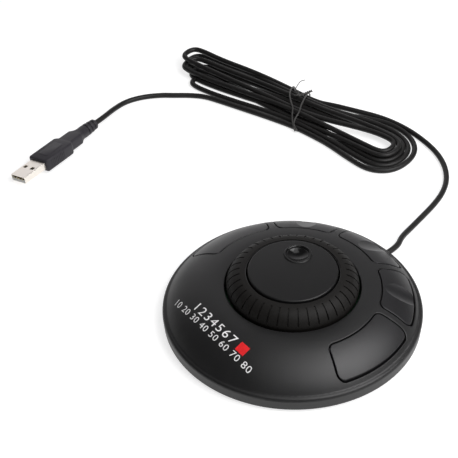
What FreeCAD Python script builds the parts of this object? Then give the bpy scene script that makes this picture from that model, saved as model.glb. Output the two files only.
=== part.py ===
"""A desk jog and shuttle control: a domed puck with a sprung outer ring, a free-turning inner dial and five
push buttons, on a thin USB cord that is folded into a tied hank. Millimetres, +Z up, the origin on the desk
under the middle of the puck, +Y towards the cord and -Y towards the person who uses it."""
import FreeCAD
import Part
import Sketcher
import math
import os
from types import SimpleNamespace

V = FreeCAD.Vector
UP = V(0, 0, 1)

doc = FreeCAD.newDocument("JogShuttle")
sheet = doc.addObject("Spreadsheet::Sheet", "Sizes")

DRIVING = (
    ("rim_radius", 70.0, "case at its widest"),
    ("rim_draft", 0.4, "how much the side wall draws in towards the desk"),
    ("rim_widest", 7.2, "height of the widest line above the desk"),
    ("rim_round", 2.0, "radius over the shoulder of the rim"),
    ("crease_round", 1.6, "hollow bend between dome and rim"),
    ("base_chamfer", 0.25, "lower edge of the case"),
    ("foot_drop", 1.5, "gap between desk and case"),
    ("dome_radius", 38.0, "radius of the dome's section"),
    ("dome_reach", 31.8, "from the widest line inwards to where the dome is level"),
    ("dome_sink", 0.18, "how far the dome passes below the top of the rim's shoulder"),
    ("cover_wall", 2.2, "thickness of the dome"),
    ("skirt_wall", 3.2, "thickness of the case at the rim"),
    ("well_gap", 0.9, "between shuttle ring and cover"),
    ("well_edge", 0.6, "rounding of the cover at the well"),
    ("well_edge_bend", 0.63, "radius of that rounding"),
    ("collar_wall", 1.2, "wall round the well"),
    ("collar_drop", 3.2, "how far that wall hangs below the dome"),
    ("plate_thickness", 2.2, "bottom cover"),
    ("case_fit", 0.3, "between bottom cover and skirt"),
    ("foot_radius", 6.0, "rubber foot"),
    ("foot_recess", 1.2, "recess in the bottom cover for a foot"),
    ("foot_fit", 0.15, "round a foot"),
    ("foot_chamfer", 0.5, "lower edge of a foot"),
    ("column_radius", 3.2, "screw column of the top cover"),
    ("column_boss", 2.5, "height of the bottom cover's boss under a column"),
    ("boss_wall", 1.5, "how far that boss reaches beyond the column"),
    ("case_screw_radius", 1.45, "shank"),
    ("case_screw_head", 2.6, "radius of the head"),
    ("case_screw_grip", 7.0, "length of thread in the column"),
    ("screw_head_height", 1.8, "every case screw"),
    ("screw_slack", 0.05, "round a thread in its pilot"),
    ("hole_slack", 0.15, "round a screw in a clearance hole, round a stem at its foot, at the end stops"),
    ("board_height", 9.5, "underside of the circuit board above the desk"),
    ("board_thickness", 1.6, "circuit board"),
    ("board_margin", 1.5, "circuit board beyond the switches"),
    ("board_screw_radius", 1.1, "shank"),
    ("board_screw_head", 1.9, "radius of the head"),
    ("board_screw_height", 1.3, "height of the head"),
    ("board_screw_grip", 4.0, "length of thread in the post"),
    ("board_post_circle", 34.0, "outer posts from the middle"),
    ("hub_screw_gap", 1.25, "between the centring spring and the hub's screws"),
    ("post_radius", 3.0, "post under the board"),
    ("well_land", 10.8, "cover between the well and the openings"),
    ("button_margin", 4.7, "cover between the openings and the widest line"),
    ("button_corner", 4.0, "corner radius of an opening"),
    ("bar_width", 3.9, "bar of the cover between two openings"),
    ("middle_bar", 20.8, "angle from the rear to the first bar"),
    ("side_bar", 61.95, "angle from the rear to the second bar"),
    ("last_bar", 111.7, "angle from the rear to the end of the last opening"),
    ("button_gap", 0.6, "between cap and opening"),
    ("button_edge", 0.45, "rounding of the caps' and the openings' edges"),
    ("button_travel", 0.8, "stroke"),
    ("cap_wall", 2.6, "thickness of a cap's face"),
    ("cap_skirt", 1.4, "thickness of a cap's side wall"),
    ("cap_flange", 1.2, "thickness of the flange that holds a cap in"),
    ("cap_lap", 1.45, "how far the flange reaches beyond the cap"),
    ("cap_play", 0.3, "between flange and cover"),
    ("scoop_radius", 15.0, "finger scoop of the middle caps"),
    ("scoop_margin", 1.9, "inner end of a scoop from the opening's inner edge"),
    ("scoop_end_depth", 0.5, "depth of a scoop at the outer edge of its cap"),
    ("switch_place", 3.9, "switches from the openings' inner edge"),
    ("switch_width", 6.0, "switch body"),
    ("switch_height", 3.5, "switch body"),
    ("switch_floor", 0.7, "bottom of the switch body"),
    ("stem_radius", 1.75, "moving stem"),
    ("stem_height", 1.4, "stem above the switch body"),
    ("stem_slack", 0.05, "round the stem"),
    ("plunger_radius", 2.0, "rod under a cap"),
    ("ring_radius", 35.4, "shuttle ring at its foot"),
    ("ring_foot", 24.0, "height at which the ring is widest"),
    ("ring_hem", 2.2, "plain band below the widest line"),
    ("hem_draft", 0.15, "how much that band draws in"),
    ("ring_inner", 25.3, "inside of the rubber"),
    ("ring_land", 27.2, "outside of the ring's level top"),
    ("ring_top", 32.55, "height of the ring's top"),
    ("ring_land_drop", 0.2, "fall of the level top to its outside"),
    ("ring_bulge", 9.8, "radius of the slope's section"),
    ("rubber", 2.2, "thickness of the rubber"),
    ("rubber_inset", 0.8, "inner corner of the rubber, in from the edge of the level top"),
    ("chip_width", 7.0, "controller on the board"),
    ("chip_height", 1.2, "controller on the board"),
    ("chip_place", 44.0, "controller from the middle"),
    ("capacitor_radius", 1.75, "each of the two capacitors"),
    ("capacitor_height", 4.2, "each of the two capacitors"),
    ("capacitor_place", 10.5, "capacitors from the middle line"),
    ("crystal_length", 4.8, "each of the two crystals"),
    ("crystal_width", 2.4, "each of the two crystals"),
    ("crystal_place", 7.0, "crystals from the middle line"),
    ("crystal_ahead", 8.4, "crystals from the controller, towards the rear"),
    ("slit_count", 40, "slits round the ring"),
    ("slit_width", 0.75, "each slit"),
    ("slit_depth", 0.75, "each slit"),
    ("slit_margin", 1.0, "plain rubber between the level top and the slits"),
    ("slit_stop", 1.5, "plain rubber below the slits, from the ring's widest line"),
    ("slit_end_depth", 1.2, "depth of a slit's lower end, in from the widest line"),
    ("shuttle_angle", 65.0, "the ring turns this far each way"),
    ("carrier_wall", 2.0, "plastic ring under the rubber"),
    ("lip_drop", 0.55, "the carrier's lip beside the dial, below the ring's top"),
    ("web_low", 19.0, "underside of the carrier's web"),
    ("hub_wall", 2.0, "hub frame"),
    ("hub_flange_edge", 0.7, "flange of the hub frame beyond its screws' heads"),
    ("hub_flange_thickness", 1.2, "flange of the hub frame"),
    ("hub_slack", 0.06, "between hub frame and carrier"),
    ("washer_thickness", 0.8, "thrust washer"),
    ("washer_width", 2.75, "thrust washer"),
    ("retainer_thickness", 0.8, "retaining ring"),
    ("retainer_groove", 0.7, "depth of its groove"),
    ("retainer_mouth", 4.0, "opening of the retaining ring"),
    ("encoder_width", 12.0, "body of the rotary encoder"),
    ("encoder_height", 6.5, "body of the rotary encoder"),
    ("bush_radius", 3.5, "threaded bush of the encoder"),
    ("bush_length", 7.0, "threaded bush of the encoder"),
    ("shaft_radius", 3.0, "encoder shaft"),
    ("shaft_slack", 0.04, "between shaft and bush"),
    ("shaft_flat", 1.5, "distance of the shaft's flat from its axis"),
    ("nut_flats", 10.0, "fixing nut across its flats"),
    ("nut_height", 2.0, "fixing nut"),
    ("dial_gap", 0.85, "between dial and ring"),
    ("dial_edge_height", 33.2, "top of the dial at its edge"),
    ("dial_crown", 0.7, "how much higher the dial's middle is"),
    ("dial_round", 0.9, "edge of the dial"),
    ("dial_wall", 1.8, "dial"),
    ("dial_skirt", 3.9, "depth of the dial's side wall"),
    ("dial_boss", 5.5, "radius of the boss on the shaft"),
    ("dimple_circle", 12.3, "dimple from the middle"),
    ("dimple_angle", 127.0, "direction of the dimple at rest"),
    ("dimple_radius", 6.5, "mouth of the dimple"),
    ("dimple_depth", 2.4, "dimple below its lip"),
    ("dimple_lip", 0.9, "radius of the raised lip's section"),
    ("vane_wall", 1.0, "code ring"),
    ("vane_low", 15.0, "lower edge of the code ring"),
    ("vane_window", 2.9, "each slot of the code ring"),
    ("gate_length", 7.0, "light gate, along the radius"),
    ("gate_width", 5.0, "light gate, round the ring"),
    ("gate_top", 17.5, "height of the light gates"),
    ("gate_slot", 2.4, "slot of a light gate"),
    ("gate_gap", 0.4, "between the hub frame's flange and a light gate"),
    ("gate_spread", 16.0, "angle from the rear to each light gate"),
    ("spring_radius", 17.4, "centring spring, middle of the wire"),
    ("spring_wire", 0.9, "diameter of the spring wire"),
    ("spring_gap", 1.89, "between the spring and the carrier's hub"),
    ("spring_turns", 3, "coils"),
    ("spring_pitch", 1.15, "from coil to coil"),
    ("spring_peg", 1.3, "half the width of the pegs between the spring's legs"),
    ("spring_peg_start", 2.15, "from the spring's middle line to the fixed peg"),
    ("spring_peg_length", 1.65, "fixed peg, along the radius"),
    ("cable_height", 5.2, "middle of the cord where it leaves the case"),
    ("cord_diameter", 3.3, "cord"),
    ("cord_lift", 0.05, "under the cord where it lies on the desk"),
    ("cord_lead", 9.2, "straight cord out of the case and out of the plug"),
    ("grommet_neck", 2.5, "radius of the grommet in the wall"),
    ("grommet_flange", 3.5, "radius of its flange inside the case"),
    ("grommet_length", 4.2, "grommet inside the wall"),
    ("grommet_fit", 0.1, "round the grommet"),
    ("wire_radius", 0.55, "each of the four wires"),
    ("wire_pitch", 1.5, "between wires"),
    ("wire_bundle_pitch", 1.2, "between wires where they leave the grommet"),
    ("socket_width", 8.0, "cord connector"),
    ("socket_height", 3.6, "cord connector"),
    ("socket_length", 6.0, "board socket"),
    ("connector_length", 4.0, "cord's plug in that socket"),
    ("connector_trim", 0.5, "how much smaller the cord's plug is than the socket, on each side"),
    ("socket_setback", 8.4, "mouth of the board socket, inwards from halfway between board and grommet"),
    ("plug_x", -192.9, "middle of the plug's mouth"),
    ("plug_y", -54.1, "middle of the plug's mouth"),
    ("plug_turn", 104.7, "direction from the plug's mouth to its cord"),
    ("plug_roll", 10.5, "the stiff cord holds the plug a little rolled, on one rounded edge"),
    ("shell_width", 12.0, "USB-A plug shell"),
    ("shell_height", 4.5, "USB-A plug shell"),
    ("shell_wall", 0.32, "USB-A plug shell"),
    ("shell_length", 18.0, "shell outside the overmould"),
    ("shell_hidden", 5.0, "shell inside the overmould"),
    ("window_size", 2.6, "latch window"),
    ("window_place", 8.9, "latch windows from the mouth"),
    ("window_spread", 3.0, "latch windows from the middle line"),
    ("tongue_height", 1.85, "insulator in the shell"),
    ("contact_width", 1.0, "contact strip"),
    ("grip_width", 15.8, "overmould"),
    ("grip_height", 8.0, "overmould"),
    ("grip_length", 23.6, "wide part of the overmould"),
    ("waist_width", 11.6, "narrow part of the overmould"),
    ("waist_height", 7.2, "narrow part of the overmould"),
    ("waist_length", 12.0, "narrow part of the overmould"),
    ("grip_round", 2.4, "long edges of the overmould"),
    ("contact_outer", 3.5, "outer two contact strips from the middle line"),
    ("contact_inner", 1.0, "inner two contact strips from the middle line"),
    ("contact_height", 0.3, "contact strip"),
    ("relief_ring", 2.2, "each ring of the strain relief"),
    ("relief_groove", 0.9, "between two rings"),
    ("relief_step", 0.7, "depth of that groove"),
    ("hank_x", -137.0, "middle of the tie"),
    ("hank_y", 122.0, "middle of the tie"),
    ("hank_turn", 11.0, "direction of the hank"),
    ("hank_height", 8.0, "hank"),
    ("hank_rise", 2.6, "top turns of the hank"),
    ("tie_turn", 41.1, "the tie lies aslant, from square to the hank"),
    ("tie_reach", 21.3, "half the tie's loop"),
    ("tie_shift_x", -2.7, "the tie's own middle from the hank's"),
    ("tie_shift_y", 2.1, "the tie's own middle from the hank's"),
    ("tie_width", 1.8, "tie"),
    ("tie_thickness", 0.8, "tie"),
    ("relief_start", 4.2, "radius of the strain relief at the overmould"),
    ("relief_end", 3.4, "radius of the strain relief at the cord"),
    ("relief_cone", 7.6, "plain part of the strain relief"),
)


class Size:
    """A number with the sheet formula that gives it, so what is worked out from the sheet stays bound."""

    def __init__(self, value, text):
        self.value = value
        self.text = text

    def __float__(self):
        return float(self.value)

    def __neg__(self):
        return Size(-self.value, f"(-{self.text})")

    def __add__(self, other):
        return Size(self.value + float(other), f"({self.text} + {words(other)})")

    def __radd__(self, other):
        return Size(self.value + float(other), f"({words(other)} + {self.text})")

    def __sub__(self, other):
        return Size(self.value - float(other), f"({self.text} - {words(other)})")

    def __rsub__(self, other):
        return Size(float(other) - self.value, f"({words(other)} - {self.text})")

    def __mul__(self, other):
        return Size(self.value * float(other), f"({self.text} * {words(other)})")

    def __rmul__(self, other):
        return Size(self.value * float(other), f"({words(other)} * {self.text})")

    def __truediv__(self, other):
        return Size(self.value / float(other), f"({self.text} / {words(other)})")


def words(value):
    """The formula of a size, or the digits of a plain number."""
    return value.text if isinstance(value, Size) else repr(float(value))


def root(value):
    return Size(math.sqrt(float(value)), f"sqrt({words(value)})")


def sine(degrees):
    return Size(math.sin(math.radians(float(degrees))), f"sin({words(degrees)})")


def cosine(degrees):
    return Size(math.cos(math.radians(float(degrees))), f"cos({words(degrees)})")


def arc_sine(ratio):
    return Size(math.degrees(math.asin(float(ratio))), f"(asin({words(ratio)}) / 1 deg)")


def fill_sheet():
    """Writes the driving sizes to the sheet, one to a row, and gives them back by name."""
    found = {}
    for row, (name, value, meaning) in enumerate(DRIVING, start=1):
        sheet.set(f"A{row}", meaning)
        sheet.set(f"B{row}", str(value))
        sheet.setAlias(f"B{row}", name)
        found[name] = Size(value, f"Sizes.{name}")
    doc.recompute()
    return SimpleNamespace(**found)


s = fill_sheet()
nodes = []


def keep(thing):
    """Marks an object of the document as a sub-part, whose label names its file."""
    nodes.append(thing)
    return thing


def bind(thing, **sizes):
    """Binds properties of an object to sizes."""
    for name, size in sizes.items():
        thing.setExpression(name, words(size))


def place(thing, x=0, y=0, z=0):
    """Binds where an object stands, and leaves how it is turned."""
    for axis, size in (("x", x), ("y", y), ("z", z)):
        if isinstance(size, Size) or size:
            thing.setExpression(f"Placement.Base.{axis}", words(size))
    return thing


def outline(sketch, corners):
    """Draws a closed outline. A corner is (x, y), or (x, y, bend) where the side that leaves it is an arc of
    that radius, which turns left if the bend is positive and right if it is negative."""
    ends = []
    start = sketch.GeometryCount
    spots = [V(float(corner[0]), float(corner[1]), 0) for corner in corners]
    for i, corner in enumerate(corners):
        a = spots[i]
        b = spots[(i + 1) % len(corners)]
        if len(corner) == 2:
            sketch.addGeometry(Part.LineSegment(a, b), False)
            ends.append((1, 2))
            continue
        bend = float(corner[2])
        left = V(a.y - b.y, b.x - a.x, 0).normalize()
        reach = math.sqrt(bend ** 2 - ((b - a).Length / 2) ** 2)
        middle = (a + b) / 2 + left * math.copysign(reach, bend)
        turns = [math.atan2(p.y - middle.y, p.x - middle.x) for p in (a, b)]
        if bend < 0:
            turns.reverse()
        sketch.addGeometry(Part.ArcOfCircle(Part.Circle(middle, UP, abs(bend)), *turns), False)
        ends.append((1, 2) if bend > 0 else (2, 1))
    for i, corner in enumerate(corners):
        here = start + i
        following = (i + 1) % len(corners)
        sketch.addConstraint(Sketcher.Constraint(
            "Coincident", here, ends[i][1], start + following, ends[following][0]))
    for i, corner in enumerate(corners):
        for kind, axis, size in (("DistanceX", -2, corner[0]), ("DistanceY", -1, corner[1])):
            if not isinstance(size, Size) and size == 0:
                sketch.addConstraint(Sketcher.Constraint("PointOnObject", start + i, ends[i][0], axis))
                continue
            made = sketch.addConstraint(
                Sketcher.Constraint(kind, -1, 1, start + i, ends[i][0], float(size)))
            sketch.setExpression(f"Constraints[{made}]", words(size))
        if len(corner) == 3:
            made = sketch.addConstraint(Sketcher.Constraint("Radius", start + i, abs(float(corner[2]))))
            bend = corner[2] if float(corner[2]) > 0 else -corner[2]
            sketch.setExpression(f"Constraints[{made}]", words(bend))


def ring(sketch, x, y, radius):
    """Draws a circle."""
    made = sketch.addGeometry(Part.Circle(V(float(x), float(y), 0), UP, float(radius)), False)
    for kind, axis, size in (("DistanceX", -2, x), ("DistanceY", -1, y)):
        if not isinstance(size, Size) and size == 0:
            sketch.addConstraint(Sketcher.Constraint("PointOnObject", made, 3, axis))
            continue
        rule = sketch.addConstraint(Sketcher.Constraint(kind, -1, 1, made, 3, float(size)))
        sketch.setExpression(f"Constraints[{rule}]", words(size))
    rule = sketch.addConstraint(Sketcher.Constraint("Radius", made, float(radius)))
    sketch.setExpression(f"Constraints[{rule}]", words(radius))


def sketch_in(body, plane, height=0):
    """An empty sketch on one of a body's origin planes, or that far along the plane's normal."""
    planes = {feature.Role: feature for feature in body.Origin.OriginFeatures}
    sketch = body.newObject("Sketcher::SketchObject", body.Name + "_sketch")
    sketch.AttachmentSupport = (planes[plane], [""])
    sketch.MapMode = "FlatFace"
    if isinstance(height, Size):
        sketch.setExpression("AttachmentOffset.Base.z", words(height))
    return sketch


def grow(body, sketch, length, kind="Pad", upwards=True):
    """Pads or pockets a sketch of a body's, up or down from its plane."""
    feature = body.newObject(f"PartDesign::{kind}", f"{body.Name}_{kind.lower()}")
    feature.Profile = sketch
    feature.Reversed = upwards == (kind == "Pocket")
    bind(feature, Length=length)
    return feature


def turned(label, corners):
    """A body turned about Z from an outline of (distance from the axis, height)."""
    body = doc.addObject("PartDesign::Body", label)
    sketch = sketch_in(body, "XZ_Plane")
    outline(sketch, corners)
    spin = body.newObject("PartDesign::Revolution", label + "_spin")
    spin.Profile = sketch
    spin.ReferenceAxis = (sketch, ["V_Axis"])
    spin.Angle = 360
    return body


def cylinder(label, radius, low, high, x=0, y=0):
    """A round bar along Z."""
    bar = doc.addObject("Part::Cylinder", label)
    bind(bar, Radius=radius, Height=high - low)
    return place(bar, x, y, low)


def block(label, low, high):
    """A box between two corners."""
    made = doc.addObject("Part::Box", label)
    bind(made, Length=high[0] - low[0], Width=high[1] - low[1], Height=high[2] - low[2])
    return place(made, *low)


def radial_block(label, inner, outer, width, low, high, angle):
    """A box that lies along a radius, in a direction given in degrees from +X."""
    made = doc.addObject("Part::Box", label)
    made.Placement = FreeCAD.Placement(V(), FreeCAD.Rotation(UP, float(angle)))
    bind(made, Length=outer - inner, Width=width, Height=high - low)
    made.setExpression("Placement.Rotation.Angle", words(angle))
    return place(made, inner * cosine(angle) + width / 2 * sine(angle),
                 inner * sine(angle) - width / 2 * cosine(angle), low)


def joined(label, things):
    """Fuses objects into one solid."""
    made = doc.addObject("Part::MultiFuse", label)
    made.Shapes = things
    return made


def group(label, things):
    """Keeps several like solids in one sub-part."""
    made = doc.addObject("Part::Compound", label)
    made.Links = things
    return keep(made)


def less(label, base, tools):
    """Takes objects away from another."""
    made = doc.addObject("Part::Cut", label)
    made.Base = base
    made.Tool = tools[0] if len(tools) == 1 else joined(label + "_tools", tools)
    return made


def overlap(label, one, other):
    """What two objects have in common."""
    made = doc.addObject("Part::MultiCommon", label)
    made.Shapes = [one, other]
    return made


def polar(radius, degrees):
    """A place given by its distance from the middle and its direction from +X."""
    return radius * cosine(degrees), radius * sine(degrees)


def edges_of(shape, chosen):
    """The names of a shape's edges that pass a test."""
    return [f"Edge{i}" for i, edge in enumerate(shape.Edges, start=1) if chosen(edge)]


# Heights and radii that several sub-parts share.
case_base = s.foot_drop
plate_top = case_base + s.plate_thickness
skirt_inner = s.rim_radius - s.skirt_wall
column_base = plate_top + s.column_boss
board_top = s.board_height + s.board_thickness
well_radius = s.ring_radius + s.well_gap
dome_crown = s.rim_radius - s.dome_reach
dome_middle = s.rim_widest + s.rim_round - s.dome_sink - root(
    s.dome_radius * s.dome_radius - (s.dome_reach - s.rim_round) * (s.dome_reach - s.rim_round))
dome_top = dome_middle + s.dome_radius
button_inner = well_radius + s.well_land
button_outer = s.rim_radius - s.button_margin
scoop_start = button_inner + s.scoop_margin
switch_circle = button_inner + s.switch_place
board_radius = switch_circle + s.switch_width / 2 + s.board_margin
column_circle = well_radius + s.collar_wall + s.case_fit + s.column_radius
foot_circle = (column_circle + s.case_screw_head + skirt_inner) / 2
screw_seat = case_base + s.screw_head_height + s.case_fit * 2
flange_top = board_top + s.hub_flange_thickness
grommet_tail = skirt_inner - s.case_fit - s.grommet_length
socket_rear = (board_radius + grommet_tail) / 2 - s.socket_setback
hub_bore = s.spring_radius - s.spring_wire / 2 - s.spring_gap - s.carrier_wall - s.hub_slack - s.hub_wall
hub_post_circle = s.spring_radius + s.spring_wire / 2 + s.hub_screw_gap + s.board_screw_head
hub_flange = hub_post_circle + s.board_screw_head + s.hub_flange_edge
vane_radius = hub_flange + s.gate_gap + s.gate_length / 2
cord_start = s.rim_radius - s.rim_draft
retainer_low = board_top + s.encoder_height + s.bush_length - s.retainer_thickness - s.hub_slack
hub_top = retainer_low + s.retainer_thickness * 2
lip_inner = s.ring_inner - s.dial_gap / 2
dial_radius = lip_inner - s.dial_gap
dial_under = s.dial_edge_height - s.dial_wall
boss_low = board_top + s.encoder_height + s.bush_length + s.case_fit
peg_inner = s.spring_radius + s.spring_peg_start
peg_outer = peg_inner + s.spring_peg_length
tab_inner = peg_outer + s.case_fit * 2
relief_pitch = s.relief_ring + s.relief_groove
plug_height = ((s.grip_width / 2 - s.grip_round) * sine(s.plug_roll)
               + (s.grip_height / 2 - s.grip_round) * cosine(s.plug_roll) + s.grip_round + s.cord_lift)
ARC_SHARE = 0.45
RELIEF_RINGS = 3
relief_tip = s.shell_length + s.grip_length + s.waist_length + s.relief_cone + RELIEF_RINGS * relief_pitch
DEVICE_ROUTE = (
    (-3.2, 89.0, 3.6), (-7.4, 100.0, 0.0), (-11.7, 112.0, 0.0), (-15.8, 124.5, 0.0), (-21.0, 136.5, 0.0),
    (-29.0, 147.5, 0.0), (-40.0, 156.5, 0.0), (-53.0, 162.0, 0.0), (-66.5, 165.0, 2.2), (-79.5, 164.5, 3.4),
    (-91.0, 160.0, 3.6),
)
PLUG_ROUTE = (
    (-216.9, 34.5, 3.3), (-219.8, 46.5, 0.0), (-219.2, 59.0, 0.0), (-214.8, 70.5, 0.0), (-206.5, 80.0, 0.0),
    (-196.0, 87.0, 0.0), (-185.0, 92.0, 0.0),
)
HANK_OUTLINE = (
    (-70.0, -20.5), (-28.0, -16.0), (10.0, -12.5), (30.0, -13.0), (56.0, -18.0), (72.0, -16.5, 18.0),
    (85.5, -2.0, 40.0), (80.0, 18.0, 24.0), (60.0, 28.5), (-20.0, 18.0), (-88.0, 19.0, 20.0),
    (-106.0, 8.0, 9.0), (-99.0, -1.0),
)
HANK_GAP = ((30.0, 6.6), (46.7, 5.1), (60.6, 4.0, 7.0), (62.3, 13.5), (44.8, 13.1))
HANK_RISE = ((-90.0, 4.0), (-30.0, -3.0), (-30.0, 13.5), (-88.0, 17.0, 8.0))
REAR = 90.0
QUARTERS = (45.0, 135.0, 225.0, 315.0)
CORD_BUTTON = 3
HUB_SCREWS = (90.0, 180.0, 270.0)
BOARD_SCREWS = (0.0, 90.0, 180.0, 270.0)
VANES = 30
ON_SURFACE = 0.02
VOLUME_LOSS = 0.01
NEARLY = 0.1
BARS = (s.last_bar, s.side_bar, s.middle_bar, -s.middle_bar, -s.side_bar, -s.last_bar)


def dome_height(radius, depth=0):
    """The height of the dome that far from the middle, or of a surface that lies a depth inside it."""
    inside = s.dome_radius - depth
    across = radius - dome_crown
    return dome_middle + root(inside * inside - across * across)


def crease_spots():
    """Where the hollow bend between dome and rim, tangent to both, meets the rim's shoulder and the dome."""
    across = s.dome_reach - s.rim_round
    rise = s.rim_widest - dome_middle
    apart = root(across * across + rise * rise)
    to_dome = s.dome_radius + s.crease_round
    to_shoulder = s.rim_round + s.crease_round
    along = (to_dome * to_dome - to_shoulder * to_shoulder + apart * apart) / (2 * apart)
    aside = root(to_dome * to_dome - along * along)
    x = (along * across - aside * rise) / apart
    z = (along * rise + aside * across) / apart
    share = s.rim_round / to_shoulder
    shoulder = dome_crown + across + share * (x - across), s.rim_widest + share * (z - rise)
    share = s.dome_radius / to_dome
    return shoulder, (dome_crown + share * x, dome_middle + share * z)


def corner_spots(edge, gap, spread):
    """Where a rounded corner between a bar and an edge meets the two, along and beside the bar."""
    bend = s.button_corner + spread
    side = s.bar_width / 2 - spread
    along = root((edge + gap) * (edge + gap) - (side + bend) * (side + bend))
    share = edge / (edge + gap)
    return (along, side), (along * share, (side + bend) * share)


def button_outline(number, spread):
    """The outline of a button opening, made larger all round by the spread. Its two sides run along bars."""
    inner = button_inner - spread
    outer = button_outer + spread
    bend = s.button_corner + spread
    low_side, low_edge = corner_spots(inner, bend, spread)
    high_side, high_edge = corner_spots(outer, -bend, spread)
    first = REAR + BARS[number]
    last = REAR + BARS[number + 1]
    route = (
        (last, 1, low_edge, bend), (last, 1, low_side, None), (last, 1, high_side, bend),
        (last, 1, high_edge, outer), (first, -1, high_edge, bend), (first, -1, high_side, None),
        (first, -1, low_side, bend), (first, -1, low_edge, -inner),
    )
    corners = []
    for bar, away, (along, side), radius in route:
        x = along * cosine(bar) - side * away * sine(bar)
        y = along * sine(bar) + side * away * cosine(bar)
        corners.append((x, y) if radius is None else (x, y, radius))
    return corners


def on_dome(edge, inner=0, outer=1000):
    """Whether an edge lies on the dome's outside, between two distances from the middle."""
    middle = V(float(dome_crown), 0, float(dome_middle))
    for share in (0.0, 0.5, 1.0):
        spot = edge.valueAt(edge.FirstParameter + share * (edge.LastParameter - edge.FirstParameter))
        reach = math.hypot(spot.x, spot.y)
        off = math.hypot(reach - middle.x, spot.z - middle.z) - float(s.dome_radius)
        if abs(off) > ON_SURFACE or not inner < reach < outer:
            return False
    return True


def top_cover():
    """The domed shell: a well for the shuttle ring, five button openings and four screw columns."""
    shoulder, dome_edge = crease_spots()
    shell = turned("top_cover", (
        (skirt_inner, case_base),
        (s.rim_radius - s.rim_draft - s.base_chamfer, case_base),
        (s.rim_radius - s.rim_draft, case_base + s.base_chamfer),
        (s.rim_radius, s.rim_widest, s.rim_round),
        (*shoulder, -s.crease_round),
        (*dome_edge, s.dome_radius),
        (well_radius + s.well_edge, dome_height(well_radius + s.well_edge), s.well_edge_bend),
        (well_radius, dome_height(well_radius) - s.well_edge),
        (well_radius, dome_height(well_radius, s.cover_wall) - s.collar_drop),
        (well_radius + s.collar_wall, dome_height(well_radius, s.cover_wall) - s.collar_drop),
        (well_radius + s.collar_wall, dome_height(well_radius + s.collar_wall, s.cover_wall),
         -(s.dome_radius - s.cover_wall)),
        (skirt_inner, dome_height(skirt_inner, s.cover_wall)),
    ))
    openings = sketch_in(shell, "XY_Plane", dome_top + s.cover_wall)
    for number in range(len(BARS) - 1):
        outline(openings, button_outline(number, 0))
    grow(shell, openings, dome_top, "Pocket", upwards=False)
    columns = sketch_in(shell, "XY_Plane", column_base)
    for angle in QUARTERS:
        ring(columns, *polar(column_circle, angle), s.column_radius)
    grow(shell, columns, dome_height(column_circle, s.cover_wall / 2) - column_base)
    pilots = sketch_in(shell, "XY_Plane", column_base)
    for angle in QUARTERS:
        ring(pilots, *polar(column_circle, angle), s.case_screw_radius + s.screw_slack)
    grow(shell, pilots, s.case_screw_grip + s.cover_wall, "Pocket")
    neck = s.grommet_neck + s.grommet_fit
    slot = sketch_in(shell, "XZ_Plane")
    outline(slot, ((-neck, 0), (neck, 0), (neck, s.cable_height), (-neck, s.cable_height)))
    grow(shell, slot, s.rim_radius + s.skirt_wall, "Pocket", upwards=False)
    arch = sketch_in(shell, "XZ_Plane")
    ring(arch, 0, s.cable_height, neck)
    grow(shell, arch, s.rim_radius + s.skirt_wall, "Pocket", upwards=False)
    seat = sketch_in(shell, "XZ_Plane")
    ring(seat, 0, s.cable_height, s.grommet_flange + s.grommet_fit)
    grow(shell, seat, skirt_inner - s.case_fit + s.grommet_fit, "Pocket", upwards=False)
    doc.recompute()
    cut_out = shell.Tip
    inner = float(button_inner) - NEARLY
    outer = float(button_outer) + NEARLY
    soft = shell.newObject("PartDesign::Fillet", "top_cover_fillet")
    soft.Base = (cut_out, edges_of(cut_out.Shape, lambda edge: on_dome(edge, inner, outer)))
    bind(soft, Radius=s.button_edge)
    return keep(shell)


def bottom_cover():
    """The flat plate under the puck, with posts for the board and bosses under the screw columns."""
    plate = doc.addObject("PartDesign::Body", "bottom_cover")
    disc = sketch_in(plate, "XY_Plane", case_base)
    ring(disc, 0, 0, skirt_inner - s.case_fit)
    grow(plate, disc, s.plate_thickness)
    bosses = sketch_in(plate, "XY_Plane", plate_top)
    for angle in QUARTERS:
        ring(bosses, *polar(column_circle, angle), s.column_radius + s.boss_wall)
    grow(plate, bosses, s.column_boss)
    posts = sketch_in(plate, "XY_Plane", plate_top)
    for circle, angles in ((s.board_post_circle, BOARD_SCREWS), (hub_post_circle, HUB_SCREWS)):
        for angle in angles:
            ring(posts, *polar(circle, angle), s.post_radius)
    grow(plate, posts, s.board_height - plate_top)
    pilots = sketch_in(plate, "XY_Plane", s.board_height)
    for circle, angles in ((s.board_post_circle, BOARD_SCREWS), (hub_post_circle, HUB_SCREWS)):
        for angle in angles:
            ring(pilots, *polar(circle, angle), s.board_screw_radius + s.screw_slack)
    grow(plate, pilots, s.board_screw_grip + s.case_fit, "Pocket", upwards=False)
    heads = sketch_in(plate, "XY_Plane", case_base)
    for angle in QUARTERS:
        ring(heads, *polar(column_circle, angle), s.case_screw_head + s.case_fit)
    grow(plate, heads, screw_seat - case_base, "Pocket")
    holes = sketch_in(plate, "XY_Plane", case_base)
    for angle in QUARTERS:
        ring(holes, *polar(column_circle, angle), s.case_screw_radius + s.hole_slack)
    grow(plate, holes, column_base, "Pocket")
    feet = sketch_in(plate, "XY_Plane", case_base)
    for angle in QUARTERS:
        ring(feet, *polar(foot_circle, angle), s.foot_radius + s.foot_fit)
    grow(plate, feet, s.foot_recess, "Pocket")
    half = s.grommet_flange + s.case_fit
    notch = sketch_in(plate, "XY_Plane", case_base)
    outline(notch, ((-half, grommet_tail - s.case_fit), (half, grommet_tail - s.case_fit),
                    (half, skirt_inner), (-half, skirt_inner)))
    grow(plate, notch, s.plate_thickness, "Pocket")
    return keep(plate)


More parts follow.
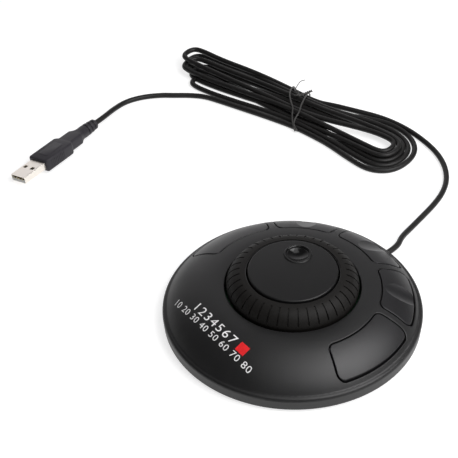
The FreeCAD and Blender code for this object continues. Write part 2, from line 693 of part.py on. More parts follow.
def rubber_feet():
    """Four soft feet with a chamfered lower edge, glued into the plate's recesses."""
    feet = []
    for number, angle in enumerate(QUARTERS, start=1):
        x, y = polar(foot_circle, angle)
        tread = doc.addObject("Part::Cone", f"foot_tread_{number}")
        bind(tread, Radius1=s.foot_radius - s.foot_chamfer, Radius2=s.foot_radius, Height=s.foot_chamfer)
        place(tread, x, y)
        stub = cylinder(f"foot_stub_{number}", s.foot_radius, s.foot_chamfer, case_base + s.foot_recess, x, y)
        feet.append(joined(f"foot_{number}", [tread, stub]))
    return group("rubber_feet", feet)


def screw(label, x, y, seat, head, head_height, shank, length, down=False):
    """A cross-head screw. Its head lies under the seat and its shank goes up, or the other way round."""
    sign = -1 if down else 1
    low, high = (seat, seat + head_height) if down else (seat - head_height, seat)
    cap = cylinder(label + "_head", head, low, high, x, y)
    tip_low, tip_high = (seat - length, seat) if down else (seat, seat + length)
    rod = cylinder(label + "_shank", shank, tip_low, tip_high, x, y)
    face = seat - sign * head_height
    deep = seat - sign * head_height / 2
    cross_low, cross_high = (deep, face) if down else (face, deep)
    slots = []
    for name, along, across in (("a", head / 2, head / 8), ("b", head / 8, head / 2)):
        slots.append(block(f"{label}_slot_{name}", (x - along, y - across, cross_low),
                           (x + along, y + across, cross_high)))
    return less(label, joined(label + "_body", [cap, rod]), slots)


def screws():
    """The three sets of screws: case, board and hub."""
    case, board, hub = [], [], []
    for number, angle in enumerate(QUARTERS, start=1):
        x, y = polar(column_circle, angle)
        case.append(screw(f"case_screw_{number}", x, y, screw_seat, s.case_screw_head, s.screw_head_height,
                          s.case_screw_radius, column_base - screw_seat + s.case_screw_grip))
    for number, angle in enumerate(BOARD_SCREWS, start=1):
        x, y = polar(s.board_post_circle, angle)
        board.append(screw(f"board_screw_{number}", x, y, board_top, s.board_screw_head, s.board_screw_height,
                           s.board_screw_radius, s.board_thickness + s.board_screw_grip, down=True))
    for number, angle in enumerate(HUB_SCREWS, start=1):
        x, y = polar(hub_post_circle, angle)
        hub.append(screw(f"hub_screw_{number}", x, y, flange_top, s.board_screw_head, s.board_screw_height,
                         s.board_screw_radius, flange_top - s.board_height + s.board_screw_grip, down=True))
    group("case_screws", case)
    group("board_screws", board)
    group("hub_screws", hub)


def main_board():
    """The round circuit board, drilled for the columns and the screws."""
    board = doc.addObject("PartDesign::Body", "main_board")
    disc = sketch_in(board, "XY_Plane", s.board_height)
    ring(disc, 0, 0, board_radius)
    grow(board, disc, s.board_thickness)
    holes = sketch_in(board, "XY_Plane", s.board_height)
    for angle in QUARTERS:
        ring(holes, *polar(column_circle, angle), s.column_radius + s.case_fit)
    for circle, angles in ((s.board_post_circle, BOARD_SCREWS), (hub_post_circle, HUB_SCREWS)):
        for angle in angles:
            ring(holes, *polar(circle, angle), s.board_screw_radius + s.hole_slack)
    grow(board, holes, s.board_thickness, "Pocket")
    return keep(board)


def board_parts():
    """What is soldered on the board: the controller, a few small parts, and the cord's socket underneath."""
    keep(block("micro_controller", (-s.chip_width / 2, -s.chip_place - s.chip_width / 2, board_top),
               (s.chip_width / 2, -s.chip_place + s.chip_width / 2, board_top + s.chip_height)))
    small = []
    for number, side in enumerate((-1, 1), start=1):
        small.append(cylinder(f"capacitor_{number}", s.capacitor_radius, board_top,
                              board_top + s.capacitor_height, side * s.capacitor_place, -s.chip_place))
        x = side * s.crystal_place
        y = s.crystal_ahead - s.chip_place
        small.append(block(f"crystal_{number}",
                           (x - s.crystal_length / 2, y - s.crystal_width / 2, board_top),
                           (x + s.crystal_length / 2, y + s.crystal_width / 2, board_top + s.chip_height)))
    group("small_board_parts", small)
    half = s.socket_width / 2
    socket_low = s.board_height - s.socket_height
    keep(block("board_socket", (-half, socket_rear - s.socket_length, socket_low),
               (half, socket_rear, s.board_height)))
    half = half - s.connector_trim
    keep(block("cord_connector", (-half, socket_rear, socket_low + s.connector_trim),
               (half, socket_rear + s.connector_length, s.board_height - s.connector_trim)))


def along_y(label, radius, start, end, x, z):
    """A round bar along Y."""
    bar = doc.addObject("Part::Cylinder", label)
    bar.Placement = FreeCAD.Placement(V(), FreeCAD.Rotation(V(1, 0, 0), -90))
    bind(bar, Radius=radius, Height=end - start)
    return place(bar, x, start, z)


def tube(label, points, radius):
    """A round tube along straight runs joined by tangent arcs, each as large as its two runs allow."""
    spots = [V(*(float(value) for value in point)) for point in points]
    edges = []
    radii = []
    start = spots[0]
    for before, here, after in zip(spots, spots[1:], spots[2:]):
        back = (before - here).normalize()
        ahead = (after - here).normalize()
        half_turn = (math.pi - back.getAngle(ahead)) / 2
        trim = ARC_SHARE * min((before - here).Length, (after - here).Length)
        radii.append(trim / math.tan(half_turn))
        inner = (back + ahead).normalize()
        centre_gap = radii[-1] / math.cos(half_turn)
        enter = here + back * trim
        leave = here + ahead * trim
        edges.append(Part.LineSegment(start, enter).toShape())
        edges.append(Part.Arc(enter, here + inner * (centre_gap - radii[-1]), leave).toShape())
        start = leave
    edges.append(Part.LineSegment(start, spots[-1]).toShape())
    path = Part.Wire(edges)
    section = Part.Wire([Part.Circle(spots[0], spots[1] - spots[0], float(radius)).toShape()])
    made = doc.addObject("Part::Feature", label)
    made.Shape = path.makePipeShell([section], True, False)
    expected = math.pi * float(radius) ** 2 * path.Length
    share = made.Shape.Volume / expected
    bends = [round(r, 1) for r in radii]
    print(label, "length", round(path.Length, 1), "volume", round(share, 4), "radii", bends)
    if abs(share - 1) > VOLUME_LOSS:
        raise ValueError(label + " has lost volume")
    return made


def cord_outlet():
    """The grommet moulded on the cord, which sits in the case's slot, and the four wires to the board."""
    flange_face = skirt_inner - s.case_fit
    wall = along_y("grommet_wall", s.grommet_neck, flange_face, cord_start, 0, s.cable_height)
    collar = along_y("grommet_collar", s.grommet_flange, flange_face - s.grommet_length / 2, flange_face,
                     0, s.cable_height)
    tail = along_y("grommet_tail", s.grommet_neck, grommet_tail, flange_face - s.grommet_length / 2,
                   0, s.cable_height)
    keep(joined("cord_grommet", [wall, collar, tail]))
    wires = []
    middle = s.board_height - s.socket_height / 2
    rear = socket_rear + s.connector_length
    step = (grommet_tail - rear) / 3
    for number, side in enumerate((-1.5, -0.5, 0.5, 1.5), start=1):
        near = s.wire_bundle_pitch * side
        far = s.wire_pitch * side
        route = ((near, grommet_tail, s.cable_height), (near, grommet_tail - step, s.cable_height),
                 (far, rear + step, middle), (far, rear, middle))
        wires.append(tube(f"wire_{number}", route, s.wire_radius))
    group("lead_wires", wires)


def prism(label, corners, low, high):
    """An outline drawn out along Z."""
    sketch = doc.addObject("Sketcher::SketchObject", label + "_sketch")
    outline(sketch, corners)
    place(sketch, 0, 0, low)
    made = doc.addObject("Part::Extrusion", label)
    made.Base = sketch
    made.DirMode = "Custom"
    made.Dir = UP
    made.Solid = True
    bind(made, LengthFwd=high - low)
    return made


def dome_layer(label, top_depth, low_depth):
    """The layer of the dome between two depths, wide enough for every cap, with its seam at the front, where
    there is no cap."""
    inner = button_inner - s.cap_lap * 2
    outer = button_outer + s.cap_lap
    layer = turned(label, (
        (inner, dome_height(inner, low_depth), low_depth - s.dome_radius),
        (outer, dome_height(outer, low_depth)),
        (outer, dome_height(outer, top_depth), s.dome_radius - top_depth),
        (inner, dome_height(inner, top_depth)),
    ))
    layer.Placement = FreeCAD.Placement(V(), FreeCAD.Rotation(UP, -REAR))
    return layer


def scoop(number, angle):
    """A round bar that lies along a middle cap and cuts a groove for the finger, deepest at the middle of its
    length because the cap is domed."""
    end = button_outer - s.button_gap
    top = V(float(scoop_start), 0, float(dome_height(scoop_start)))
    foot = V(float(end), 0, float(dome_height(end)) - float(s.scoop_end_depth))
    along = (foot - top).normalize()
    up = V(-along.z, 0, along.x)
    length = (foot - top).Length
    bar = doc.addObject("Part::Cylinder", f"scoop_bar_{number}")
    bar.Placement = FreeCAD.Placement(V(), FreeCAD.Rotation(UP, angle)) * FreeCAD.Placement(
        top - along * length + up * float(s.scoop_radius), FreeCAD.Rotation(UP, along))
    bar.Height = 3 * length
    bind(bar, Radius=s.scoop_radius)
    return bar


def cord_passage():
    """What the cap over the cord leaves free for the grommet, also when it is pressed."""
    side = s.grommet_flange + 2 * s.case_fit
    top = s.cable_height + s.grommet_flange + s.case_fit + s.button_travel
    return block("cord_passage", (-side, grommet_tail - s.case_fit, case_base), (side, s.rim_radius, top))


def buttons():
    """Five caps that follow the dome, each held in from below by a flange, each over a switch."""
    flange_depth = s.cover_wall + s.cap_play
    low_depth = flange_depth + s.cap_flange
    skirt_layer = dome_layer("cap_skirt_layer", 0, low_depth)
    flange_layer = dome_layer("cap_flange_layer", flange_depth, low_depth)
    hollow_layer = dome_layer("cap_hollow_layer", s.cap_wall, low_depth + s.cap_flange)
    stem_top = board_top + s.switch_height + s.stem_height
    stem_low = board_top + s.switch_floor + s.button_travel + s.hole_slack
    bodies = []
    for number in range(len(BARS) - 1):
        name = number + 1
        angle = REAR + (BARS[number] + BARS[number + 1]) / 2
        x, y = polar(switch_circle, angle)
        cap = prism(f"cap_prism_{name}", button_outline(number, -s.button_gap), case_base, dome_top)
        core = prism(f"core_prism_{name}", button_outline(number, -s.button_gap - s.cap_skirt),
                     case_base, dome_top)
        wide = prism(f"wide_prism_{name}", button_outline(number, s.cap_lap - s.button_gap),
                     case_base, dome_top)
        shell = overlap(f"cap_shell_{name}", cap, skirt_layer)
        doc.recompute()
        face = doc.addObject("Part::Fillet", f"cap_face_{name}")
        face.Base = shell
        soft = float(s.button_edge)
        face.Edges = [(int(edge[4:]), soft, soft) for edge in edges_of(shell.Shape, on_dome)]
        flange = overlap(f"cap_flange_{name}", wide, flange_layer)
        hollow = overlap(f"cap_hollow_{name}", core, hollow_layer)
        tools = [hollow]
        if 0 < number < len(BARS) - 2:
            tools.append(scoop(name, float(angle)))
        if name == CORD_BUTTON:
            tools.append(cord_passage())
        rod = cylinder(f"cap_rod_{name}", s.plunger_radius, stem_top,
                       dome_height(switch_circle, s.cap_wall - s.button_edge), x, y)
        hollowed = less(f"cap_hollowed_{name}", joined(f"cap_blank_{name}", [face, flange]), tools)
        keep(joined(f"button_cap_{name}", [hollowed, rod]))
        keep(cylinder(f"switch_stem_{name}", s.stem_radius, stem_low, stem_top, x, y))
        half = s.switch_width / 2
        case = radial_block(f"switch_case_{name}", switch_circle - half, switch_circle + half,
                            s.switch_width, board_top, board_top + s.switch_height, angle)
        bore = cylinder(f"switch_bore_{name}", s.stem_radius + s.stem_slack, board_top + s.switch_floor,
                        board_top + s.switch_height + s.stem_height, x, y)
        bodies.append(less(f"switch_body_{name}", case, [bore]))
    group("switch_bodies", bodies)


def radial_corners(inner, outer, half, angle):
    """The corners of a block that lies along a radius."""
    turn = cosine(angle), sine(angle)
    return [(r * turn[0] - side * turn[1], r * turn[1] + side * turn[0])
            for r, side in ((inner, -half), (outer, -half), (outer, half), (inner, half))]


def pattern_round(body, feature, count):
    """Repeats a feature evenly round Z."""
    axis = [f for f in body.Origin.OriginFeatures if f.Role == "Z_Axis"][0]
    pattern = body.newObject("PartDesign::PolarPattern", body.Name + "_pattern")
    pattern.Originals = [feature]
    pattern.Axis = (axis, [""])
    pattern.Angle = 360
    bind(pattern, Occurrences=count)
    body.Tip = pattern
    return pattern


def hub_frame():
    """The fixed frame over the encoder: the shuttle ring turns on its outside, between two stops."""
    journal = hub_bore + s.hub_wall
    shelf = board_top + s.encoder_height
    hub = turned("hub_frame", (
        (hub_bore, board_top),
        (hub_flange, board_top),
        (hub_flange, flange_top),
        (journal, flange_top),
        (journal, retainer_low),
        (journal - s.retainer_groove, retainer_low),
        (journal - s.retainer_groove, retainer_low + s.retainer_thickness + s.screw_slack),
        (journal, retainer_low + s.retainer_thickness + s.screw_slack),
        (journal, hub_top),
        (hub_bore, hub_top),
        (hub_bore, shelf + s.hub_wall),
        (s.bush_radius + s.screw_slack, shelf + s.hub_wall),
        (s.bush_radius + s.screw_slack, shelf),
        (hub_bore, shelf),
    ))
    pegs = sketch_in(hub, "XY_Plane", board_top)
    outline(pegs, radial_corners(peg_inner, peg_outer, s.spring_peg, 0.0))
    tab_turn = 2 * arc_sine(s.spring_peg / tab_inner)
    stop_turn = s.shuttle_angle + tab_turn + 2 * arc_sine(s.hole_slack / tab_inner)
    for side in (-1, 1):
        outline(pegs, radial_corners(tab_inner, hub_flange, s.spring_peg, side * stop_turn))
    grow(hub, pegs, s.web_low - board_top - s.cap_wall)
    holes = sketch_in(hub, "XY_Plane", board_top)
    for angle in HUB_SCREWS:
        ring(holes, *polar(hub_post_circle, angle), s.board_screw_radius + s.hole_slack)
    grow(hub, holes, s.hub_flange_thickness, "Pocket")
    return keep(hub)


def hub_rings():
    """The thrust washer under the carrier and the open retaining ring over it."""
    journal = hub_bore + s.hub_wall
    keep(turned("thrust_washer", (
        (journal + s.screw_slack, flange_top),
        (journal + s.washer_width, flange_top),
        (journal + s.washer_width, flange_top + s.washer_thickness),
        (journal + s.screw_slack, flange_top + s.washer_thickness),
    )))
    hoop = turned("retainer_hoop", (
        (journal - s.retainer_groove, retainer_low),
        (journal + s.carrier_wall, retainer_low),
        (journal + s.carrier_wall, retainer_low + s.retainer_thickness),
        (journal - s.retainer_groove, retainer_low + s.retainer_thickness),
    ))
    mouth = block("ring_mouth", (0, -s.retainer_mouth / 2, retainer_low),
                  (journal + 2 * s.carrier_wall, s.retainer_mouth / 2, retainer_low + s.retainer_thickness))
    keep(less("retaining_ring", hoop, [mouth]))


def encoder():
    """The jog dial's rotary encoder: body and bush, nut, and the shaft that turns with the dial."""
    half = s.encoder_width / 2
    shelf = board_top + s.encoder_height
    case = block("encoder_case", (-half, -half, board_top), (half, half, shelf))
    bush = cylinder("encoder_bush", s.bush_radius, shelf, shelf + s.bush_length)
    bore = cylinder("encoder_bore", s.shaft_radius + s.shaft_slack, shelf - s.encoder_height / 2,
                    shelf + s.bush_length)
    keep(less("encoder_body", joined("encoder_solid", [case, bush]), [bore]))
    hexagon = doc.addObject("Part::Prism", "nut_hexagon")
    hexagon.Polygon = 6
    bind(hexagon, Circumradius=s.nut_flats / math.sqrt(3), Height=s.nut_height)
    place(hexagon, 0, 0, shelf + s.hub_wall)
    thread = cylinder("nut_thread", s.bush_radius + s.screw_slack, shelf, shelf + s.bush_length)
    keep(less("encoder_nut", hexagon, [thread]))
    shaft_low = shelf - s.encoder_height / 2 + s.shaft_slack * 2
    shaft_high = dial_under
    rod = cylinder("shaft_rod", s.shaft_radius, shaft_low, shaft_high)
    flat = block("shaft_flat", (s.shaft_flat, -s.shaft_radius, boss_low),
                 (s.shaft_radius * 2, s.shaft_radius, shaft_high))
    keep(less("encoder_shaft", rod, [flat]))


def jog_dial():
    """The inner dial: a shallow dome with a finger dimple that has a raised lip, on a boss with a D bore."""
    top = s.dial_edge_height + s.dial_crown
    flat_radius = dial_radius - s.dial_round
    crown = (flat_radius * flat_radius + s.dial_crown * s.dial_crown) / (2 * s.dial_crown)
    disc = turned("dial_disc", (
        (0, boss_low),
        (s.dial_boss, boss_low),
        (s.dial_boss, dial_under),
        (dial_radius - s.dial_wall, dial_under),
        (dial_radius - s.dial_wall, s.dial_edge_height - s.dial_skirt),
        (dial_radius, s.dial_edge_height - s.dial_skirt),
        (dial_radius, s.dial_edge_height - s.dial_round, s.dial_round),
        (flat_radius, s.dial_edge_height, crown),
        (0, top),
    ))
    x, y = polar(s.dimple_circle, s.dimple_angle)
    share = s.dimple_circle / flat_radius
    face = s.dial_edge_height + s.dial_crown * (1 - share * share)
    lip = doc.addObject("Part::Torus", "dimple_lip")
    bind(lip, Radius1=s.dimple_radius + s.dimple_lip / 3, Radius2=s.dimple_lip)
    place(lip, x, y, face - s.dimple_lip / 3)
    crest = face + s.dimple_lip * 2 / 3
    depth = s.dimple_depth
    ball_radius = (s.dimple_radius * s.dimple_radius + depth * depth) / (2 * depth)
    pad = cylinder("dimple_pad", s.dimple_radius, dial_under - s.dial_wall / 2, s.dial_edge_height, x, y)
    ball = doc.addObject("Part::Sphere", "dimple_ball")
    bind(ball, Radius=ball_radius)
    place(ball, x, y, crest - depth + ball_radius)
    bore = cylinder("dial_bore", s.shaft_radius + s.shaft_slack / 2, boss_low, dial_under)
    key = block("dial_key", (s.shaft_flat + s.shaft_slack / 2, -s.shaft_radius, boss_low),
                (s.shaft_radius * 2, s.shaft_radius, dial_under))
    solid = joined("dial_solid", [disc, lip, pad])
    return keep(less("jog_dial", solid, [ball, less("dial_socket", bore, [key])]))


def shuttle_grip():
    """The rubber ring, with slits down its slope for grip."""
    land = s.ring_top - s.ring_land_drop
    inside = s.ring_radius - s.rubber
    grip = turned("shuttle_grip", (
        (s.ring_inner, s.ring_top - s.rubber),
        (s.ring_land - s.rubber_inset, s.ring_top - s.rubber),
        (inside, s.ring_foot),
        (inside, s.ring_foot - s.ring_hem),
        (s.ring_radius - s.hem_draft, s.ring_foot - s.ring_hem),
        (s.ring_radius, s.ring_foot, s.ring_bulge),
        (s.ring_land, land),
        (s.ring_inner, s.ring_top),
    ))
    slit_start = s.ring_land + s.slit_margin
    slit = sketch_in(grip, "XZ_Plane")
    outline(slit, (
        (slit_start, s.ring_top + s.slit_depth),
        (slit_start, land - s.slit_depth, -s.ring_bulge),
        (s.ring_radius - s.slit_end_depth, s.ring_foot + s.slit_stop),
        (s.ring_radius + s.slit_depth, s.ring_foot + s.slit_stop),
        (s.ring_radius + s.slit_depth, s.ring_top + s.slit_depth),
    ))
    cut = grip.newObject("PartDesign::Pocket", "shuttle_slit")
    cut.Profile = slit
    cut.SideType = "Symmetric"
    bind(cut, Length=s.slit_width)
    pattern_round(grip, cut, s.slit_count)
    return keep(grip)


def shuttle_carrier():
    """The plastic ring inside the rubber, its web and its hub, and the tab that winds the spring."""
    bore = hub_bore + s.hub_wall + s.hub_slack
    hub_low = flange_top + s.washer_thickness + s.screw_slack
    outside = s.ring_radius - s.rubber
    shoulder = s.ring_land - s.rubber_inset
    top = s.ring_top - s.rubber
    carrier = turned("shuttle_carrier", (
        (bore, hub_low),
        (bore + s.carrier_wall, hub_low),
        (bore + s.carrier_wall, s.web_low),
        (outside, s.web_low),
        (outside, s.ring_foot),
        (shoulder, top),
        (s.ring_inner, top),
        (s.ring_inner, s.ring_top - s.lip_drop),
        (lip_inner, s.ring_top - s.lip_drop),
        (lip_inner, top - s.carrier_wall),
        (shoulder - s.carrier_wall / 2, top - s.carrier_wall),
        (outside - s.carrier_wall, s.ring_foot - s.carrier_wall / 2),
        (outside - s.carrier_wall, s.web_low + s.carrier_wall),
        (bore + s.carrier_wall, s.web_low + s.carrier_wall),
        (bore + s.carrier_wall, retainer_low - s.screw_slack),
        (bore, retainer_low - s.screw_slack),
    ))
    tab = sketch_in(carrier, "XY_Plane", flange_top + s.case_fit)
    outline(tab, radial_corners(tab_inner, hub_flange, s.spring_peg, 0.0))
    grow(carrier, tab, s.web_low + s.carrier_wall / 2 - flange_top - s.case_fit)
    return keep(carrier)


def code_ring():
    """The thin slotted ring under the carrier that the two light gates read, and the gates."""
    half = s.vane_wall / 2
    vane = turned("code_ring_blank", (
        (vane_radius - half, s.vane_low),
        (vane_radius + half, s.vane_low),
        (vane_radius + half, s.web_low),
        (vane_radius - half, s.web_low),
    ))
    slots = [radial_block(f"vane_slot_{number}", vane_radius - s.vane_wall, vane_radius + s.vane_wall,
                          s.vane_window, s.vane_low, s.web_low - s.vane_wall, 360 * (number + 0.5) / VANES)
             for number in range(VANES)]
    keep(less("code_ring", vane, slots))
    gates = []
    for number, side in enumerate((-1, 1), start=1):
        angle = REAR + side * s.gate_spread
        case = radial_block(f"gate_case_{number}", vane_radius - s.gate_length / 2,
                            vane_radius + s.gate_length / 2, s.gate_width, board_top, s.gate_top, angle)
        slot = radial_block(f"gate_slot_{number}", vane_radius - s.gate_slot / 2,
                            vane_radius + s.gate_slot / 2, s.gate_width * 2,
                            s.vane_low - s.gate_slot / 2, s.gate_top + s.gate_slot, angle)
        gates.append(less(f"light_gate_{number}", case, [slot]))
    group("light_gates", gates)


def centring_spring():
    """A torsion spring whose two legs straddle the fixed peg and the carrier's tab."""
    wire = float(s.spring_wire) / 2
    radius = float(s.spring_radius)
    side = float(s.spring_peg) + wire + float(s.screw_slack)
    lead = math.degrees(math.asin(side / radius))
    turns = float(s.spring_turns) - 2 * lead / 360
    low = float(flange_top) + wire + float(s.hole_slack)
    rise = turns * float(s.spring_pitch)
    helix = Part.makeHelix(float(s.spring_pitch), rise, radius)
    helix.rotate(V(), UP, lead)
    helix.translate(V(0, 0, low))
    first = helix.Edges[0]
    start = first.valueAt(first.FirstParameter)
    section = Part.Wire([Part.Circle(start, first.tangentAt(first.FirstParameter), wire).toShape()])
    coil = Part.Wire(helix.Edges).makePipeShell([section], True, True)
    reach = float(hub_flange)
    along = math.sqrt(radius ** 2 - side ** 2)
    legs = [Part.makeCylinder(wire, reach - along, V(along, y, z), V(1, 0, 0))
            for y, z in ((side, low), (-side, low + rise))]
    knees = [Part.makeSphere(wire, V(along, y, z)) for y, z in ((side, low), (-side, low + rise))]
    spring = doc.addObject("Part::Feature", "centring_spring")
    spring.Shape = coil.fuse(legs + knees).removeSplitter()
    return keep(spring)


def free_cord():
    """The cord from the case to the tied hank, the hank's outer shape, and the cord on to the plug."""
    radius = s.cord_diameter / 2
    outlet = V(0, float(cord_start), float(s.cable_height))
    lie("cord_device_side", outlet, V(0, 1, 0), DEVICE_ROUTE, radius)
    turn = math.radians(float(s.plug_turn))
    ahead = V(math.cos(turn), math.sin(turn), 0)
    mouth = V(float(s.plug_x), float(s.plug_y), float(plug_height))
    lie("cord_plug_side", mouth + ahead * float(relief_tip), ahead, PLUG_ROUTE, radius)
    hank = doc.addObject("PartDesign::Body", "cord_hank_blank")
    layer = sketch_in(hank, "XY_Plane")
    outline(layer, HANK_OUTLINE)
    grow(hank, layer, s.hank_height)
    gap = sketch_in(hank, "XY_Plane")
    outline(gap, HANK_GAP)
    grow(hank, gap, s.hank_height, "Pocket")
    rise = sketch_in(hank, "XY_Plane", s.hank_height)
    outline(rise, HANK_RISE)
    grow(hank, rise, s.hank_rise)
    place_turned(hank, s.hank_x, s.hank_y, 0, s.hank_turn)
    tie = doc.addObject("PartDesign::Body", "twist_tie")
    band = sketch_in(tie, "YZ_Plane")
    half = s.tie_reach
    outline(band, ((-half, 0), (half, 0), (half, s.hank_height + s.tie_thickness),
                   (-half, s.hank_height + s.tie_thickness)))
    inner = half - s.tie_thickness
    outline(band, ((-inner, s.tie_thickness), (inner, s.tie_thickness), (inner, s.hank_height),
                   (-inner, s.hank_height)))
    grow(tie, band, s.tie_width)
    place_turned(tie, s.hank_x + s.tie_shift_x, s.hank_y + s.tie_shift_y, 0, s.hank_turn + s.tie_turn)
    keep(tie)
    keep(less("cord_hank", hank, [tie]))


def lie(label, start, ahead, route, radius):
    """A stretch of the cord: straight out of what holds it, then along its route, nowhere below the desk."""
    rest = float(radius) + float(s.cord_lift)
    points = [start, start + ahead * float(s.cord_lead)] + [V(x, y, max(z, rest)) for x, y, z in route]
    return keep(tube(label, points, radius))


def place_turned(thing, x, y, z, turn):
    """Turns an object about Z and binds where it stands."""
    thing.Placement = FreeCAD.Placement(V(), FreeCAD.Rotation(UP, float(turn)))
    thing.setExpression("Placement.Rotation.Angle", words(turn))
    return place(thing, x, y, z)


def plug_body(label):
    """A body in the plug's own frame: +X from the mouth to the cord."""
    body = doc.addObject("PartDesign::Body", label)
    roll = FreeCAD.Rotation(V(1, 0, 0), -float(s.plug_roll))
    body.Placement = FreeCAD.Placement(V(), FreeCAD.Rotation(UP, float(s.plug_turn)) * roll)
    return place(body, s.plug_x, s.plug_y, plug_height)


def middle_box(sketch, width, height, lift=0):
    """A rectangle about the plug's axis, or that far above it."""
    low, high = lift - height / 2, lift + height / 2
    outline(sketch, ((-width / 2, low), (width / 2, low), (width / 2, high), (-width / 2, high)))


def usb_plug():
    """The USB-A plug: a hollow metal shell, the insulating tongue with its contacts, and the overmould."""
    shell = plug_body("plug_shell")
    section = sketch_in(shell, "YZ_Plane")
    middle_box(section, s.shell_width, s.shell_height)
    middle_box(section, s.shell_width - 2 * s.shell_wall, s.shell_height - 2 * s.shell_wall)
    grow(shell, section, s.shell_length + s.shell_hidden)
    windows = sketch_in(shell, "XY_Plane", -s.shell_height)
    for side in (-1, 1):
        low = side * s.window_spread - s.window_size / 2
        outline(windows, ((s.window_place, low), (s.window_place + s.window_size, low),
                          (s.window_place + s.window_size, low + s.window_size),
                          (s.window_place, low + s.window_size)))
    grow(shell, windows, s.shell_height * 2, "Pocket")
    keep(shell)
    tongue = plug_body("plug_tongue")
    section = sketch_in(tongue, "YZ_Plane")
    floor = s.shell_wall - s.shell_height / 2
    middle_box(section, s.shell_width - 2 * s.shell_wall, s.tongue_height, floor + s.tongue_height / 2)
    grow(tongue, section, s.shell_length + s.shell_hidden)
    keep(tongue)
    contacts = plug_body("plug_contacts")
    section = sketch_in(contacts, "YZ_Plane")
    low, high = floor + s.tongue_height, floor + s.tongue_height + s.contact_height
    for middle in (-s.contact_outer, -s.contact_inner, s.contact_inner, s.contact_outer):
        left, right = middle - s.contact_width / 2, middle + s.contact_width / 2
        outline(section, ((left, low), (right, low), (right, high), (left, high)))
    grow(contacts, section, s.shell_length)
    keep(contacts)
    grip = plug_body("plug_overmould")
    wide = sketch_in(grip, "YZ_Plane", s.shell_length)
    middle_box(wide, s.grip_width, s.grip_height)
    grow(grip, wide, s.grip_length)
    waist = sketch_in(grip, "YZ_Plane", s.shell_length + s.grip_length)
    middle_box(waist, s.waist_width, s.waist_height)
    grow(grip, waist, s.waist_length)
    doc.recompute()
    solid = grip.Tip
    shortest = float(s.waist_length) - NEARLY
    long_edges = edges_of(solid.Shape, lambda edge: edge.Length > shortest
                          and abs(edge.tangentAt(edge.FirstParameter).x) > 1 - NEARLY)
    soft = grip.newObject("PartDesign::Fillet", "plug_overmould_fillet")
    soft.Base = (solid, long_edges)
    bind(soft, Radius=s.grip_round)
    seat = sketch_in(grip, "YZ_Plane", s.shell_length)
    middle_box(seat, s.shell_width, s.shell_height)
    grow(grip, seat, s.shell_hidden, "Pocket")
    relief = sketch_in(grip, "XZ_Plane")
    start = s.shell_length + s.grip_length + s.waist_length
    fall = (s.relief_start - s.relief_end) / RELIEF_RINGS
    profile = [(start - s.relief_ring, 0), (start - s.relief_ring, s.relief_start)]
    for number in range(RELIEF_RINGS):
        here = start + s.relief_cone + number * relief_pitch
        radius = s.relief_start - number * fall
        inner = radius - s.relief_step
        profile += [(here, radius), (here, inner), (here + s.relief_groove, inner),
                    (here + s.relief_groove, radius - fall)]
    profile += [(relief_tip, s.relief_end), (relief_tip, 0)]
    outline(relief, profile)
    spin = grip.newObject("PartDesign::Revolution", "plug_relief_spin")
    spin.Profile = relief
    spin.ReferenceAxis = (relief, ["H_Axis"])
    spin.Angle = 360
    grip.Tip = spin
    keep(grip)


top_cover()
bottom_cover()
rubber_feet()
screws()
main_board()
board_parts()
cord_outlet()
buttons()
hub_frame()
hub_rings()
encoder()
jog_dial()
shuttle_grip()
shuttle_carrier()
code_ring()
centring_spring()
free_cord()
usb_plug()

doc.recompute()
for thing in doc.Objects:
    if "Invalid" in thing.State or "Error" in thing.State:
        raise RuntimeError(f"{thing.Name} failed: {thing.State}")
for node in nodes:
    if node.Shape.isNull() or not node.Shape.isValid() or not node.Shape.Solids:
        raise RuntimeError(f"{node.Label} has no valid solid")
os.makedirs("parts", exist_ok=True)
for node in nodes:
    node.Shape.exportStep(f"parts/{node.Label}.step")
print(len(nodes), "sub-parts written")
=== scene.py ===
"""The looks of the jog and shuttle desk control, piece by piece in the order in which it is put together."""
import math
import bmesh
import bpy
from mathutils import Matrix, Vector


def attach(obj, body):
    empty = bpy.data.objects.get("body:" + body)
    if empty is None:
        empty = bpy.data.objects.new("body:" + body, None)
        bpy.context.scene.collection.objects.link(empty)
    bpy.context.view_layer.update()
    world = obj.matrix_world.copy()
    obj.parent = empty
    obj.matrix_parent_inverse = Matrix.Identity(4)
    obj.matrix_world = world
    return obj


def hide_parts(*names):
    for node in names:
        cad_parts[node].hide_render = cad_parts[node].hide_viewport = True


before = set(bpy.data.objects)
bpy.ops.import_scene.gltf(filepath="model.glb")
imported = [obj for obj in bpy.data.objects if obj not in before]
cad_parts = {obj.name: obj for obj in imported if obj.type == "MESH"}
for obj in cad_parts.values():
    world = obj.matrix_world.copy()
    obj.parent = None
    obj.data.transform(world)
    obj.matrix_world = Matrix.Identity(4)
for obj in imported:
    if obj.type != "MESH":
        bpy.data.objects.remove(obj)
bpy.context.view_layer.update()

# ---- Bottom cover, feet and case screws --------------------------------------------------------------
# The plate is moulded in black plastic with a fine eroded texture. Four soft rubber feet are glued into
# its recesses, and four zinc-plated screws come up beside them into the top cover.


def new_material(name, colour, roughness, metallic=0.0):
    """An empty node material with its Principled shader, which the finish of each piece is built on."""
    made = bpy.data.materials.new(name)
    made.use_nodes = True
    shader = made.node_tree.nodes["Principled BSDF"]
    shader.inputs["Base Color"].default_value = (*colour, 1)
    shader.inputs["Roughness"].default_value = roughness
    shader.inputs["Metallic"].default_value = metallic
    return made, shader


def node(tree, kind, **inputs):
    """Adds a shader node and sets its inputs, from a number, a colour or another node's output."""
    made = tree.nodes.new(kind)
    for key, value in inputs.items():
        socket = made.inputs[int(key[1:])] if key[0] == "i" and key[1:].isdigit() else made.inputs[key]
        if isinstance(value, bpy.types.NodeSocket):
            tree.links.new(value, socket)
        else:
            socket.default_value = value
    return made


